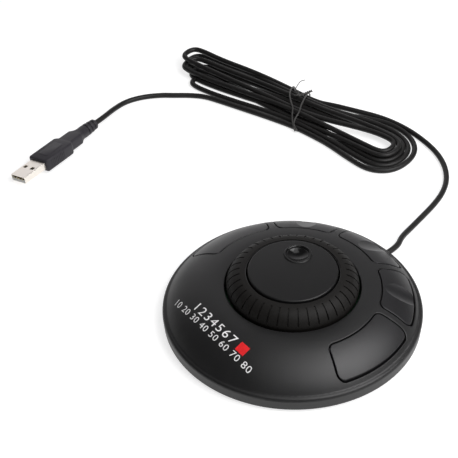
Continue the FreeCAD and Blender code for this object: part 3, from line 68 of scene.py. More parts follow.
def new_group(name, inputs, outputs):
    """A shader node group with named number inputs and outputs."""
    tree = bpy.data.node_groups.new(name, "ShaderNodeTree")
    for label, value in inputs:
        tree.interface.new_socket(label, in_out="INPUT", socket_type="NodeSocketFloat").default_value = value
    for label in outputs:
        tree.interface.new_socket(label, in_out="OUTPUT", socket_type="NodeSocketFloat")
    return tree, tree.nodes.new("NodeGroupInput").outputs, tree.nodes.new("NodeGroupOutput").inputs


def math_node(tree, operation, a, b=0.0, c=0.0):
    """Adds one step of arithmetic and gives its result."""
    made = node(tree, "ShaderNodeMath", i0=a, i1=b, i2=c)
    made.operation = operation
    return made.outputs[0]


# The specks in a moulded skin: their scale against the grain's, how rare they are, and how pale.
SPECK_SCALE = 0.2
SPECK_RARITY = 0.73
SPECK_PALER = 0.25
# How far a skin's colour varies, and its least share of the full colour.
SHADE_SPREAD = 0.35
SHADE_LEAST = 0.82


def skin_group():
    """The surface of a moulded piece: its spark-eroded grain, and the broad faint sheen of handling."""
    tree, given, out = new_group("moulded_skin", (("Grain", 3000.0), ("Sheen", 60.0)),
                                 ("Height", "Gloss", "Shade"))
    where = node(tree, "ShaderNodeTexCoord").outputs["Object"]
    pits = node(tree, "ShaderNodeTexNoise", Vector=where, Scale=given["Grain"], Detail=3.0, Roughness=0.6)
    wide = node(tree, "ShaderNodeTexNoise", Vector=where, Scale=given["Sheen"], Detail=4.0, Roughness=0.55)
    speck_scale = math_node(tree, "MULTIPLY", given["Grain"], SPECK_SCALE)
    specks = node(tree, "ShaderNodeTexNoise", Vector=where, Scale=speck_scale, Detail=1.0)
    speck = math_node(tree, "GREATER_THAN", specks.outputs[0], SPECK_RARITY)
    tree.links.new(pits.outputs[0], out["Height"])
    tree.links.new(math_node(tree, "SUBTRACT", wide.outputs[0], 0.5), out["Gloss"])
    shade = math_node(tree, "MULTIPLY_ADD", wide.outputs[0], SHADE_SPREAD, SHADE_LEAST)
    tree.links.new(math_node(tree, "MULTIPLY_ADD", speck, SPECK_PALER, shade), out["Shade"])
    return tree


moulded_skin = skin_group()
GRAIN_STRENGTH = 0.6


def moulded(name, colour, roughness, grain=3000.0, depth=0.00002, sheen=60.0, smudge=0.12, shine=0.5):
    """A moulded plastic or rubber: its colour and gloss vary a little, and its grain stands in relief."""
    made, shader = new_material(name, colour, roughness)
    tree = made.node_tree
    skin = node(tree, "ShaderNodeGroup")
    skin.node_tree = moulded_skin
    skin.inputs["Grain"].default_value = grain
    skin.inputs["Sheen"].default_value = sheen
    gloss = math_node(tree, "MULTIPLY_ADD", skin.outputs["Gloss"], smudge, roughness)
    tree.links.new(gloss, shader.inputs["Roughness"])
    tint = node(tree, "ShaderNodeVectorMath", i0=colour)
    tint.operation = "SCALE"
    tree.links.new(skin.outputs["Shade"], tint.inputs["Scale"])
    tree.links.new(tint.outputs[0], shader.inputs["Base Color"])
    bump = node(tree, "ShaderNodeBump", Height=skin.outputs["Height"], Distance=depth, Strength=GRAIN_STRENGTH)
    tree.links.new(bump.outputs[0], shader.inputs["Normal"])
    shader.inputs["Specular IOR Level"].default_value = shine
    return made


def finish(name, material):
    """Gives a CAD node its material."""
    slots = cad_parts[name].data.materials
    slots.clear()
    slots.append(material)


# The drawn lines' scale on plated metal, the scale of the clouds in its gloss, and how strong they are.
LINE_SCALE = 900.0
CLOUD_SCALE = 300.0
CLOUD_GLOSS = 0.12


def plated(name, colour, roughness, direction=(1.0, 1.0, 30.0)):
    """A plated metal with fine drawn lines along one direction and a cloudy gloss."""
    made, shader = new_material(name, colour, roughness, 1.0)
    tree = made.node_tree
    where = node(tree, "ShaderNodeTexCoord").outputs["Object"]
    drawn = node(tree, "ShaderNodeMapping", Vector=where, Scale=direction)
    lines = node(tree, "ShaderNodeTexNoise", Vector=drawn.outputs[0], Scale=LINE_SCALE, Detail=3.0)
    cloud = node(tree, "ShaderNodeTexNoise", Vector=where, Scale=CLOUD_SCALE, Detail=3.0)
    gloss = math_node(tree, "MULTIPLY_ADD", cloud.outputs[0], CLOUD_GLOSS, roughness - CLOUD_GLOSS / 2)
    tree.links.new(gloss, shader.inputs["Roughness"])
    bump = node(tree, "ShaderNodeBump", Height=lines.outputs[0], Distance=0.000004, Strength=0.5)
    tree.links.new(bump.outputs[0], shader.inputs["Normal"])
    return made


base_plastic = moulded("base_plastic", (0.02, 0.02, 0.021), 0.55, grain=2200.0, depth=0.00004)
foot_rubber = moulded("foot_rubber", (0.016, 0.016, 0.016), 0.75, grain=1500.0, depth=0.00003)
zinc_steel = plated("zinc_steel", (0.6, 0.6, 0.62), 0.34)
finish("bottom_cover", base_plastic)
finish("rubber_feet", foot_rubber)
finish("case_screws", zinc_steel)

# ---- Circuit board and what is soldered to it --------------------------------------------------------
# A green glass-fibre board carries the controller, two capacitors, two crystals, five push switches, the
# light gates and, underneath, the socket that the cord's four wires plug into.

MASK_GREEN = (0.015, 0.09, 0.035)
MASK_DARKER = (0.013, 0.08, 0.03)
TRACK_GREEN = (0.03, 0.16, 0.06)


def board_finish():
    """Solder mask over copper tracks: the tracks show as slightly raised, paler green lines."""
    made, shader = new_material("solder_mask", MASK_GREEN, 0.32)
    tree = made.node_tree
    where = node(tree, "ShaderNodeTexCoord").outputs["Object"]
    cells = node(tree, "ShaderNodeTexBrick", Vector=where, Scale=180.0, Color1=(*MASK_GREEN, 1),
                 Color2=(*MASK_DARKER, 1), Mortar=(*TRACK_GREEN, 1), **{"Mortar Size": 0.03})
    bump = node(tree, "ShaderNodeBump", Height=cells.outputs["Fac"], Distance=0.00003, Strength=0.6)
    tree.links.new(cells.outputs["Color"], shader.inputs["Base Color"])
    tree.links.new(bump.outputs[0], shader.inputs["Normal"])
    return made


# How far the four wires together reach to each side of their middle.
WIRES_REACH = 0.0027
# Where each wire's colour starts, as a share of the way across all four.
WIRE_COLOURS = ((0.0, (0.45, 0.02, 0.015)), (0.27, (0.75, 0.74, 0.7)), (0.5, (0.03, 0.25, 0.05)),
                (0.73, (0.02, 0.02, 0.02)))


def wire_finish():
    """The four wires' insulation, each in its own colour, told apart by how far to the side it lies."""
    made, shader = new_material("wire_insulation", (0.5, 0.05, 0.03), 0.4)
    tree = made.node_tree
    where = node(tree, "ShaderNodeTexCoord").outputs["Object"]
    side = node(tree, "ShaderNodeSeparateXYZ", i0=where).outputs[0]
    place = node(tree, "ShaderNodeMapRange", Value=side, **{"From Min": -WIRES_REACH, "From Max": WIRES_REACH})
    ramp = node(tree, "ShaderNodeValToRGB", Fac=place.outputs[0])
    ramp.color_ramp.interpolation = "CONSTANT"
    for index, (start, colour) in enumerate(WIRE_COLOURS):
        stop = ramp.color_ramp.elements[index] if index < 2 else ramp.color_ramp.elements.new(start)
        stop.position = start
        stop.color = (*colour, 1)
    tree.links.new(ramp.outputs[0], shader.inputs["Base Color"])
    return made


solder_mask = board_finish()
chip_resin = moulded("chip_resin", (0.012, 0.012, 0.013), 0.5, grain=4000.0)
can_metal = plated("can_metal", (0.7, 0.7, 0.72), 0.28)
socket_nylon = moulded("socket_nylon", (0.7, 0.68, 0.6), 0.42)
switch_resin = moulded("switch_resin", (0.018, 0.018, 0.02), 0.45)
white_acetal = moulded("white_acetal", (0.72, 0.72, 0.7), 0.38)
finish("main_board", solder_mask)
finish("micro_controller", chip_resin)
finish("small_board_parts", can_metal)
finish("board_screws", zinc_steel)
finish("board_socket", socket_nylon)
finish("cord_connector", socket_nylon)
finish("lead_wires", wire_finish())
finish("switch_bodies", switch_resin)
finish("light_gates", switch_resin)
for number in range(1, 6):
    finish(f"switch_stem_{number}", white_acetal)

# ---- Hub: encoder, frame, spring and rings ------------------------------------------------------------
# The encoder stands in the middle of the board inside a black moulded frame, which three screws hold
# down. The frame carries a slippery white washer, the carrier of the outer ring, and the steel ring that
# keeps it down, and the torsion spring round it brings the carrier back to its middle.

frame_plastic = moulded("frame_plastic", (0.02, 0.02, 0.022), 0.5)
spring_steel = plated("spring_steel", (0.42, 0.42, 0.44), 0.3, direction=(1.0, 1.0, 8.0))
finish("hub_frame", frame_plastic)
finish("hub_screws", zinc_steel)
finish("thrust_washer", white_acetal)
finish("retaining_ring", spring_steel)
finish("encoder_body", can_metal)
finish("encoder_nut", zinc_steel)
finish("encoder_shaft", can_metal)
finish("centring_spring", spring_steel)
finish("code_ring", frame_plastic)

# ---- Top cover -----------------------------------------------------------------------------------------
# One domed moulding in satin black plastic, with a groove between dome and rim. The five openings and the
# well have softened edges.

cover_plastic = moulded("cover_plastic", (0.0065, 0.0065, 0.0068), 0.46, grain=3200.0, depth=0.000015,
                        smudge=0.1)
finish("top_cover", cover_plastic)

# ---- Printed scale -------------------------------------------------------------------------------------
# Two plain rows of numbers are pad-printed in white on the front of the dome, with a red mark at the end of
# the first. The flat pad lays them down from above, and the ink stands three hundredths of a millimetre
# proud.

# The dome's section is an arc: its radius, how far out its crown is, and how high its centre lies.
DOME_ROUND = 38.0
DOME_CROWN = 38.2
DOME_MIDDLE = -14.559
INK = 0.03
# The middle of the pad's bend from side to side, and how strong the bend is.
PAD_MIDDLE = 5.0
PAD_BEND = 0.0021
# The ink's longest edge, and the rounds of cuts that bring it down to that.
INK_EDGE = 0.9
INK_CUTS = 3


def on_dome(x, y):
    """A flat spot of the print, in millimetres, laid on the dome. The pad's rows bend a little with it."""
    y += PAD_BEND * (x - PAD_MIDDLE) ** 2
    height = DOME_MIDDLE + math.sqrt(DOME_ROUND ** 2 - (math.hypot(x, y) - DOME_CROWN) ** 2) + INK
    return Vector((x, y, height)) / 1000


def print_piece(name, ink, material):
    """Makes a piece of flat ink, cut into short edges first so that it follows the dome."""
    for _ in range(INK_CUTS):
        long_edges = [edge for edge in ink.edges if edge.calc_length() > INK_EDGE]
        bmesh.ops.subdivide_edges(ink, edges=long_edges, cuts=1)
        bmesh.ops.triangulate(ink, faces=ink.faces)
    for vert in ink.verts:
        vert.co = on_dome(vert.co.x, vert.co.y)
    mesh = bpy.data.meshes.new(name)
    ink.to_mesh(mesh)
    ink.free()
    mesh.materials.append(material)
    piece = bpy.data.objects.new(name, mesh)
    bpy.context.scene.collection.objects.link(piece)
    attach(piece, "base")


def add_row(ink, text, size, spacing, left, right, baseline):
    """Adds one row of numbers, stretched to fit between two places along it."""
    lettering = bpy.data.curves.new("row", "FONT")
    lettering.body = text
    lettering.size = size
    lettering.space_character = spacing
    lettering.resolution_u = 4
    drawn = bpy.data.objects.new("row", lettering)
    outline = bpy.data.meshes.new_from_object(drawn)
    reach = [vert.co.x for vert in outline.vertices]
    stretch = (right - left) / (max(reach) - min(reach))
    shift = left - min(reach) * stretch
    for vert in outline.vertices:
        vert.co = (vert.co.x * stretch + shift, vert.co.y + baseline, 0.0)
    ink.from_mesh(outline)
    bpy.data.objects.remove(drawn)


white_ink = moulded("white_ink", (0.86, 0.86, 0.86), 0.55, depth=0.000005, sheen=400.0, smudge=0.1)
red_ink = moulded("red_ink", (0.78, 0.008, 0.012), 0.5, depth=0.000005, sheen=400.0, smudge=0.1)
numbers = bmesh.new()
add_row(numbers, "1234567", size=6.6, spacing=1.2, left=-21.0, right=12.7, baseline=-51.6)
add_row(numbers, "10 20 30 40 50 60 70 80", size=4.6, spacing=1.1, left=-35.0, right=29.6, baseline=-56.0)
print_piece("scale_numbers", numbers, white_ink)
mark = bmesh.new()
corners = ((15.3, -52.1), (21.3, -52.1), (21.3, -47.1), (15.3, -47.1))
mark.faces.new([mark.verts.new((x, y, 0.0)) for x, y in corners])
print_piece("scale_end_mark", mark, red_ink)

# ---- Buttons -------------------------------------------------------------------------------------------
# Five separate caps in the same black plastic as the cover, a little smoother from fingers. Each sits on the
# stem of its own push switch, and the middle three have a scoop for the fingertip.

cap_plastic = moulded("cap_plastic", (0.0068, 0.0066, 0.0076), 0.42, grain=3200.0, depth=0.000015)
for number in range(1, 6):
    finish(f"button_cap_{number}", cap_plastic)

# ---- Shuttle ring --------------------------------------------------------------------------------------
# A soft rubber tyre with slits down its slope, moulded round a hard black carrier whose lip shows beside
# the dial.

grip_rubber = moulded("grip_rubber", (0.0062, 0.0055, 0.0048), 0.58, grain=2600.0, smudge=0.15, shine=0.22)
carrier_plastic = moulded("carrier_plastic", (0.018, 0.018, 0.018), 0.42)
finish("shuttle_grip", grip_rubber)
finish("shuttle_carrier", carrier_plastic)

# ---- Jog dial ------------------------------------------------------------------------------------------
# A moulded disc in smooth satin black, pressed onto the encoder's shaft. The finger dimple near its edge is
# polished, so the lights show in it.

DIMPLE_MIDDLE = (-0.0074, 0.00982, 0.0)
DIMPLE_RADIUS = 0.0066
DIMPLE_POLISH = -0.27
dial_plastic = moulded("dial_plastic", (0.0055, 0.0055, 0.0056), 0.42, grain=3600.0, depth=0.00001,
                       shine=0.35)
tree = dial_plastic.node_tree
shader = tree.nodes["Principled BSDF"]
satin = shader.inputs["Roughness"].links[0].from_socket
place = node(tree, "ShaderNodeSeparateXYZ", i0=node(tree, "ShaderNodeTexCoord").outputs["Object"])
flat_place = node(tree, "ShaderNodeCombineXYZ", i0=place.outputs[0], i1=place.outputs[1])
reach = node(tree, "ShaderNodeVectorMath", i0=flat_place.outputs[0], i1=DIMPLE_MIDDLE)
reach.operation = "DISTANCE"
polished = math_node(tree, "LESS_THAN", reach.outputs["Value"], DIMPLE_RADIUS)
tree.links.new(math_node(tree, "MULTIPLY_ADD", polished, DIMPLE_POLISH, satin), shader.inputs["Roughness"])
finish("jog_dial", dial_plastic)

# ---- Cord ----------------------------------------------------------------------------------------------
# A thin black data cord, moulded into a grommet at the case. It crosses the desk to a loose flat hank of
# ten folds, which a wire holds at its middle, and leaves the hank's far end for its plug.

CORD_RADIUS = 0.0017
# The height of its middle where it lies on the desk.
CORD_REST = 0.0017
device_route = (
    (0.0, 0.0696, 0.0052), (0.0, 0.0788, 0.0052), (-0.006, 0.088, 0.0036), (-0.0097, 0.0992, CORD_REST),
    (-0.0128, 0.1115, CORD_REST), (-0.0161, 0.1244, CORD_REST), (-0.0207, 0.1371, CORD_REST),
    (-0.028, 0.1484, CORD_REST), (-0.0385, 0.1574, CORD_REST), (-0.0513, 0.1634, CORD_REST),
    (-0.0653, 0.1661, CORD_REST), (-0.0812, 0.1668, CORD_REST), (-0.0996, 0.1636, CORD_REST),
    (-0.117, 0.1545, 0.0022), (-0.1303, 0.1479, 0.0022),
)
plug_route = (
    (-0.1826, 0.0944, CORD_REST), (-0.1932, 0.0901, CORD_REST), (-0.201, 0.0831, CORD_REST),
    (-0.2072, 0.0755, CORD_REST), (-0.2134, 0.0686, CORD_REST), (-0.2195, 0.058, CORD_REST),
    (-0.2222, 0.0465, CORD_REST), (-0.2185, 0.0345, 0.0033), (-0.213122, 0.022992, 0.005026),
    (-0.210788, 0.014093, 0.005026), (-0.208126, 0.003936, 0.005026), (-0.20102, -0.023147, 0.005026),
)
HANK_MIDDLE = Vector((-0.137, 0.122))
HANK_TURN = math.radians(11.0)
# Where the cord passes under the wire each time: across the hank, and height, in millimetres.
hank_passes = (
    (20.4, 1.7), (2.1, 5.0), (0.2, 5.0), (12.8, 5.0), (-4.0, 1.7), (-6.1, 1.7), (15.3, 4.8), (10.7, 1.7),
    (0.8, 1.7), (14.7, 1.7), (-10.3, 1.7),
)
# Each fold's reach from the wire, its middle across the hank, its breadth and its height, all in millimetres.
left_folds = (
    (99.9, 5.7, 14.4, 8.0), (94.8, 0.0, 15.8, 5.1), (80.5, -8.5, 14.2, 1.7), (99.4, 7.9, 15.5, 1.7),
    (87.8, -0.5, 16.4, 1.7),
)
right_folds = (
    (70.0, 5.7, 14.0, 5.2), (74.0, 4.8, 20.2, 5.2), (79.4, 5.0, 32.8, 1.7), (75.9, 5.4, 25.6, 2.4),
    (83.7, 4.4, 42.2, 1.7),
)
# Where the points of a fold's runs lie on the way out, and the angles of those round its bend.
RUN_SHARES = (0.28, 0.55, 0.82)
BEND_ANGLES = (-70, -28, 28, 70)
CORNER_REACH = 1 / math.cos(math.radians(24))
# A run has reached its fold's side by this share of the way.
RUN_SETTLED = 0.95
# How much the hank's far side swells on the right and on the left, and how much its near side is slimmed.
RIGHT_SWELL = 0.0113
LEFT_SWELL = 0.0105
NEAR_SLIMMING = 0.2


def eased(start, end, share):
    """A value on its smooth way from start to end."""
    share = min(1.0, share / RUN_SETTLED)
    return start + (end - start) * share * share * (3 - 2 * share)


def fold(side, start, end, reach, middle, breadth, height):
    """The points of one fold, out from the wire, round and back, in millimetres along and across the hank."""
    radius = breadth / 2
    centre = reach - radius
    turn = math.copysign(1, end[0] - start[0])
    out = [(side * centre * share, eased(start[0], middle - turn * radius, share),
            start[1] + (height - start[1]) * share) for share in RUN_SHARES]
    bend = [(side * (centre + radius * CORNER_REACH * math.cos(math.radians(angle))),
             middle + turn * radius * CORNER_REACH * math.sin(math.radians(angle)), height)
            for angle in BEND_ANGLES]
    back = [(side * centre * share, eased(end[0], middle + turn * radius, share),
             end[1] + (height - end[1]) * share) for share in reversed(RUN_SHARES)]
    return out + bend + back


def swell(along, start, end):
    """How far along a swelling of the hank a place is: nothing at its two ends, 1 in its middle."""
    return math.sin(math.pi * (along - start) / (end - start)) ** 2 if start < along < end else 0.0


def on_desk(along, across, height):
    """A point of the hank in the part's own frame. The hank's far side swells, and its near side is slim."""
    if across > 0:
        across += across * across * (RIGHT_SWELL * swell(along, 4, 84) + LEFT_SWELL * swell(along, -92, -8))
    else:
        across -= across * NEAR_SLIMMING * swell(along, 0, 66)
    x = along * math.cos(HANK_TURN) - across * math.sin(HANK_TURN)
    y = along * math.sin(HANK_TURN) + across * math.cos(HANK_TURN)
    return HANK_MIDDLE.x + x / 1000, HANK_MIDDLE.y + y / 1000, height / 1000


hank_route = []
for index, here in enumerate(hank_passes):
    hank_route.append(on_desk(0, *here))
    if index + 1 < len(hank_passes):
        side, folds = (1, right_folds) if index % 2 else (-1, left_folds)
        spots = fold(side, here, hank_passes[index + 1], *folds[index // 2])
        hank_route += [on_desk(*spot) for spot in spots]


def smooth_line(name, points, radius, material, closed=False):
    """A round cord or wire along a smooth NURBS curve that its points lead."""
    curve = bpy.data.curves.new(name, "CURVE")
    curve.dimensions = "3D"
    curve.bevel_depth = radius
    curve.bevel_resolution = 5
    curve.resolution_u = 8
    curve.use_fill_caps = True
    spline = curve.splines.new("NURBS")
    spline.points.add(len(points) - 1)
    for point, spot in zip(spline.points, points):
        point.co = (*spot, 1)
    spline.order_u = 3
    spline.use_endpoint_u = not closed
    spline.use_cyclic_u = closed
    piece = bpy.data.objects.new(name, curve)
    bpy.context.scene.collection.objects.link(piece)
    curve.materials.append(material)
    return piece


cord_jacket = moulded("cord_jacket", (0.011, 0.0105, 0.0102), 0.44, grain=1800.0, depth=0.000012, shine=0.32)
cord = smooth_line("cord", (*device_route, *hank_route, *plug_route), CORD_RADIUS, cord_jacket)
finish("cord_grommet", cord_jacket)
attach(cord, "base")
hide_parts("cord_device_side", "cord_hank", "cord_plug_side")

# ---- Wire tie ------------------------------------------------------------------------------------------
# A soft wire in dark grey plastic, laid twice round the hank so that it crosses itself on top. Its two
# ends are twisted together on the far side, and one tip of it is left sticking up.

TIE_RADIUS = 0.0005
TIE_STRAND = 0.0004
TIE_TIP = 0.00024
# The points of each run, along and across the hank and in height, in millimetres.
near_turn = (
    (-20.6, 23.4, 2.0), (-19.9, 20.9, 5.2), (-16.3, 13.1, 7.4), (-12.1, 7.7, 7.7), (-6.8, 2.9, 7.5),
    (-3.0, -0.3, 7.2), (0.5, -5.7, 5.6), (4.7, -10.5, 4.2), (9.2, -14.2, 2.0), (8.0, -12.4, 0.5),
    (0.0, -2.0, 0.5), (-9.0, 10.0, 0.5), (-18.0, 21.0, 0.5),
)
far_turn = (
    (-8.6, 25.2, 2.0), (-8.0, 22.6, 4.4), (-5.4, 17.0, 7.2), (-3.5, 12.4, 7.6), (-0.4, 4.8, 7.6),
    (3.0, -1.3, 7.1), (3.8, -7.0, 5.2), (6.0, -11.4, 4.0), (10.4, -13.6, 2.2), (9.4, -12.0, 0.5),
    (4.0, -1.0, 0.5), (-2.0, 12.0, 0.5), (-7.6, 23.4, 0.5),
)
loose_tip = (
    (-12.4, 13.3, 7.6), (-14.8, 17.4, 7.9), (-15.7, 20.6, 8.6), (-16.3, 23.6, 9.1), (-15.9, 25.6, 9.2),
    (-15.0, 27.4, 9.0),
)
crumple = (
    (-19.6, 20.2, 5.6), (-15.5, 16.8, 7.9), (-12.2, 13.6, 8.7), (-9.4, 14.6, 8.9), (-8.2, 11.2, 8.5),
    (-11.0, 9.6, 8.4), (-7.5, 11.5, 8.6),
)
TWIST_START = Vector((-7.5, 11.5, 8.4))
TWIST_END = Vector((-5.5, 23.0, 7.2))
TWIST_TURNS = 3.5
TWIST_STEPS = 36
TWIST_RADIUS = 0.5


def twisted_end(turned):
    """One of the two strands that wind round each other, the other one half a turn ahead of it."""
    along = (TWIST_END - TWIST_START).normalized()
    aside = along.cross(Vector((0, 0, 1))).normalized()
    above = aside.cross(along)
    spots = []
    for step in range(TWIST_STEPS + 1):
        share = step / TWIST_STEPS
        angle = 2 * math.pi * TWIST_TURNS * share + turned
        off = (aside * math.cos(angle) + above * math.sin(angle)) * TWIST_RADIUS
        spots.append(TWIST_START.lerp(TWIST_END, share) + off)
    return spots


tie_plastic = moulded("tie_plastic", (0.055, 0.053, 0.051), 0.38, grain=2500.0, smudge=0.1)


def tie_run(name, spots, radius, closed=False):
    """One run of the tie's wire, from its points along and across the hank."""
    return smooth_line(name, [on_desk(*spot) for spot in spots], radius, tie_plastic, closed)


tie_turn = tie_run("tie_turn", near_turn, TIE_RADIUS, closed=True)
tie_parts = [
    tie_run("tie_second_turn", far_turn, TIE_RADIUS, closed=True),
    tie_run("tie_tip", loose_tip, TIE_TIP),
    tie_run("tie_crumple", crumple, TIE_STRAND),
    tie_run("tie_twist_one", twisted_end(0.0), TIE_STRAND),
    tie_run("tie_twist_two", twisted_end(math.pi), TIE_STRAND),
]
for piece in (tie_turn, *tie_parts):
    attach(piece, "base")
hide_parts("twist_tie")

# ---- Plug shell ----------------------------------------------------------------------------------------
# The plug's shell is one nickel-plated steel sheet folded round until its edges meet underneath. Two square
# latch windows are punched in its top and two in its bottom, over the pale tongue with its gold strips.

# The middle of the plug's mouth, the way the plug points, and how far it is rolled onto its lower edge.
PLUG_MOUTH = (-0.1929, -0.0541, 0.005026)
PLUG_HEADING = math.radians(104.7)
PLUG_ROLL = math.radians(-10.5)
plug_place = (Matrix.Translation(PLUG_MOUTH) @ Matrix.Rotation(PLUG_HEADING, 4, "Z")
              @ Matrix.Rotation(PLUG_ROLL, 4, "X") @ Matrix.Scale(0.001, 4))
# The shell's sizes in millimetres.
SHELL_HALF_WIDTH = 6.0
SHELL_HALF_HEIGHT = 2.25
SHELL_CORNER = 0.6
SHELL_WALL = 0.32
SEAM_HALF_GAP = 0.03
MOUTH_TAPER = 0.975
# The two windows in each face run between these places along the plug and to each side.
WINDOW_START, WINDOW_END = 8.9, 11.5
WINDOW_SIDES = (1.7, 4.3)
SHELL_STATIONS = (0.0, 0.35, WINDOW_START, WINDOW_END, 18.0, 22.5)
CORNER_STEPS = 5
SHARP_ANGLE = math.radians(34.0)


def bent_corner(y, z, radius, start):
    """The points of one rounded corner, a quarter turn from its starting angle in degrees."""
    return [(y + radius * math.cos(math.radians(start + 90 * step / CORNER_STEPS)),
             z + radius * math.sin(math.radians(start + 90 * step / CORNER_STEPS)))
            for step in range(CORNER_STEPS + 1)]


def smooth_piece(name, mesh_data, material):
    """Makes a piece of a bmesh, with its rounds shaded smoothly and its edges left sharp."""
    for face in mesh_data.faces:
        face.smooth = True
    for edge in mesh_data.edges:
        edge.smooth = len(edge.link_faces) == 2 and edge.calc_face_angle() < SHARP_ANGLE
    mesh = bpy.data.meshes.new(name)
    mesh_data.to_mesh(mesh)
    mesh_data.free()
    mesh.materials.append(material)
    piece = bpy.data.objects.new(name, mesh)
    bpy.context.scene.collection.objects.link(piece)
    return piece


flat_y, flat_z = SHELL_HALF_WIDTH - SHELL_CORNER, SHELL_HALF_HEIGHT - SHELL_CORNER
half_round = [(SEAM_HALF_GAP, -SHELL_HALF_HEIGHT), *((y, -SHELL_HALF_HEIGHT) for y in WINDOW_SIDES),
              *bent_corner(flat_y, -flat_z, SHELL_CORNER, -90), *bent_corner(flat_y, flat_z, SHELL_CORNER, 0),
              *((y, SHELL_HALF_HEIGHT) for y in reversed(WINDOW_SIDES))]
fold_line = half_round + [(-y, z) for y, z in reversed(half_round)]
sheet = bmesh.new()
rings = []
for x in SHELL_STATIONS:
    taper = MOUTH_TAPER if x == 0 else 1.0
    rings.append([sheet.verts.new(plug_place @ Vector((x, y * taper, z * taper))) for y, z in fold_line])
window_edges = {(side * y, z) for side in (-1, 1) for y in WINDOW_SIDES
                for z in (-SHELL_HALF_HEIGHT, SHELL_HALF_HEIGHT)}
for x, near, far in zip(SHELL_STATIONS, rings, rings[1:]):
    for step in range(len(fold_line) - 1):
        here, following = fold_line[step], fold_line[step + 1]
        in_window = here in window_edges and following in window_edges and here[0] * following[0] > 0
        if not (in_window and x == WINDOW_START):
            sheet.faces.new((near[step], far[step], far[step + 1], near[step + 1]))
nickel = plated("nickel", (0.93, 0.88, 0.81), 0.36)
plug_sheet = smooth_piece("plug_sheet", sheet, nickel)
wall = plug_sheet.modifiers.new("sheet_thickness", "SOLIDIFY")
wall.thickness = SHELL_WALL / 1000
wall.offset = 1.0
flat_faces = plug_sheet.modifiers.new("flat_faces", "WEIGHTED_NORMAL")
flat_faces.keep_sharp = True
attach(plug_sheet, "base")
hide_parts("plug_shell")
gold = plated("gold", (0.55, 0.43, 0.2), 0.32)
tongue_plastic = moulded("tongue_plastic", (0.92, 0.93, 0.9), 0.4)
finish("plug_tongue", tongue_plastic)
finish("plug_contacts", gold)

# ---- Plug overmould ------------------------------------------------------------------------------------
# Black soft plastic moulded over the shell's root: a flat grip with a bare raised plate on each face and
# ribs on its sides, a narrower shoulder, a cone, and three rings that let the cord bend.

# Each station along the plug: half width, half height and corner radius, in millimetres.
grip_stations = (
    (18.0, 7.0, 3.15, 0.9), (18.25, 7.4, 3.55, 1.1), (19.0, 7.9, 4.0, 1.3), (40.7, 7.9, 4.0, 1.3),
    (41.6, 7.4, 3.9, 1.4), (42.9, 6.0, 3.65, 1.5), (43.7, 5.8, 3.6, 1.5), (52.0, 5.8, 3.6, 1.6),
    (53.0, 5.5, 3.5, 1.9), (54.2, 4.8, 3.45, 2.6), (56.5, 4.1, 3.6, 3.5), (60.9, 4.05, 4.05, 4.0),
    (61.2, 3.95, 3.95, 3.9), (61.4, 3.2, 3.2, 3.15), (61.9, 3.2, 3.2, 3.15), (62.1, 3.85, 3.85, 3.8),
    (62.5, 4.0, 4.0, 3.95), (63.9, 3.92, 3.92, 3.87), (64.3, 3.75, 3.75, 3.7), (64.5, 3.0, 3.0, 2.95),
    (65.0, 3.0, 3.0, 2.95), (65.2, 3.6, 3.6, 3.55), (65.6, 3.75, 3.75, 3.7), (67.0, 3.67, 3.67, 3.62),
    (67.4, 3.5, 3.5, 3.45), (67.6, 2.75, 2.75, 2.7), (68.1, 2.75, 2.75, 2.7), (68.3, 3.35, 3.35, 3.3),
    (68.7, 3.5, 3.5, 3.45), (70.0, 3.4, 3.4, 3.35), (70.5, 3.0, 3.0, 2.95),
)


def grip_section(half_width, half_height, corner):
    """One rounded section of the overmould, as points round it."""
    y, z = half_width - corner, half_height - corner
    return [*bent_corner(y, z, corner, 0), *bent_corner(-y, z, corner, 90),
            *bent_corner(-y, -z, corner, 180), *bent_corner(y, -z, corner, 270)]


def add_loft(mesh_data, sections):
    """Joins a row of equal sections, each a list of points, into one closed skin."""
    rings = [[mesh_data.verts.new(plug_place @ Vector(spot)) for spot in section] for section in sections]
    count = len(rings[0])
    for low, high in zip(rings, rings[1:]):
        for step in range(count):
            following = (step + 1) % count
            mesh_data.faces.new((low[step], low[following], high[following], high[step]))
    mesh_data.faces.new(tuple(reversed(rings[0])))
    mesh_data.faces.new(tuple(rings[-1]))


grip = bmesh.new()
add_loft(grip, [[(x, y, z) for y, z in grip_section(*sizes)] for x, *sizes in grip_stations])
# The bare plate on top and its fellow below, with a sloped edge: half length, half width and height.
PLATE_MIDDLE = 30.4
PLATE_CORNER = 1.6
PLATE_STEPS = ((7.6, 4.3, 3.8), (7.6, 4.3, 4.0), (7.3, 4.0, 4.22))
# The ribs on each side, with a sloped edge: how far out, half thickness, and how much less high and round.
RIB_PLACES = [22.6 + 1.35 * rib for rib in range(9)]
RIB_HALF_HEIGHT = 2.4
RIB_CORNER = 0.2
RIB_STEPS = ((7.6, 0.36, 0.0), (7.95, 0.36, 0.0), (8.1, 0.24, 0.1))
for side in (-1, 1):
    add_loft(grip, [[(PLATE_MIDDLE + along * side, across, height * side)
                     for along, across in grip_section(half_length, half_width, PLATE_CORNER)]
                    for half_length, half_width, height in PLATE_STEPS])
    for place in RIB_PLACES:
        add_loft(grip, [[(place + along * side, out * side, height)
                         for along, height in grip_section(half, RIB_HALF_HEIGHT - less, RIB_CORNER - less)]
                        for out, half, less in RIB_STEPS])
bmesh.ops.recalc_face_normals(grip, faces=grip.faces)
overmould_rubber = moulded("overmould_rubber", (0.03, 0.028, 0.034), 0.52, grain=2200.0, depth=0.00003,
                           shine=0.4)
plug_grip = smooth_piece("plug_grip", grip, overmould_rubber)
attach(plug_grip, "base")
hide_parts("plug_overmould")

# ---- Studio --------------------------------------------------------------------------------------------
# A white desk in a dim white room with one bright wall behind it. Three soft boxes hang above: the key to
# the right, a fill over the front, and a small one that the dimple mirrors.

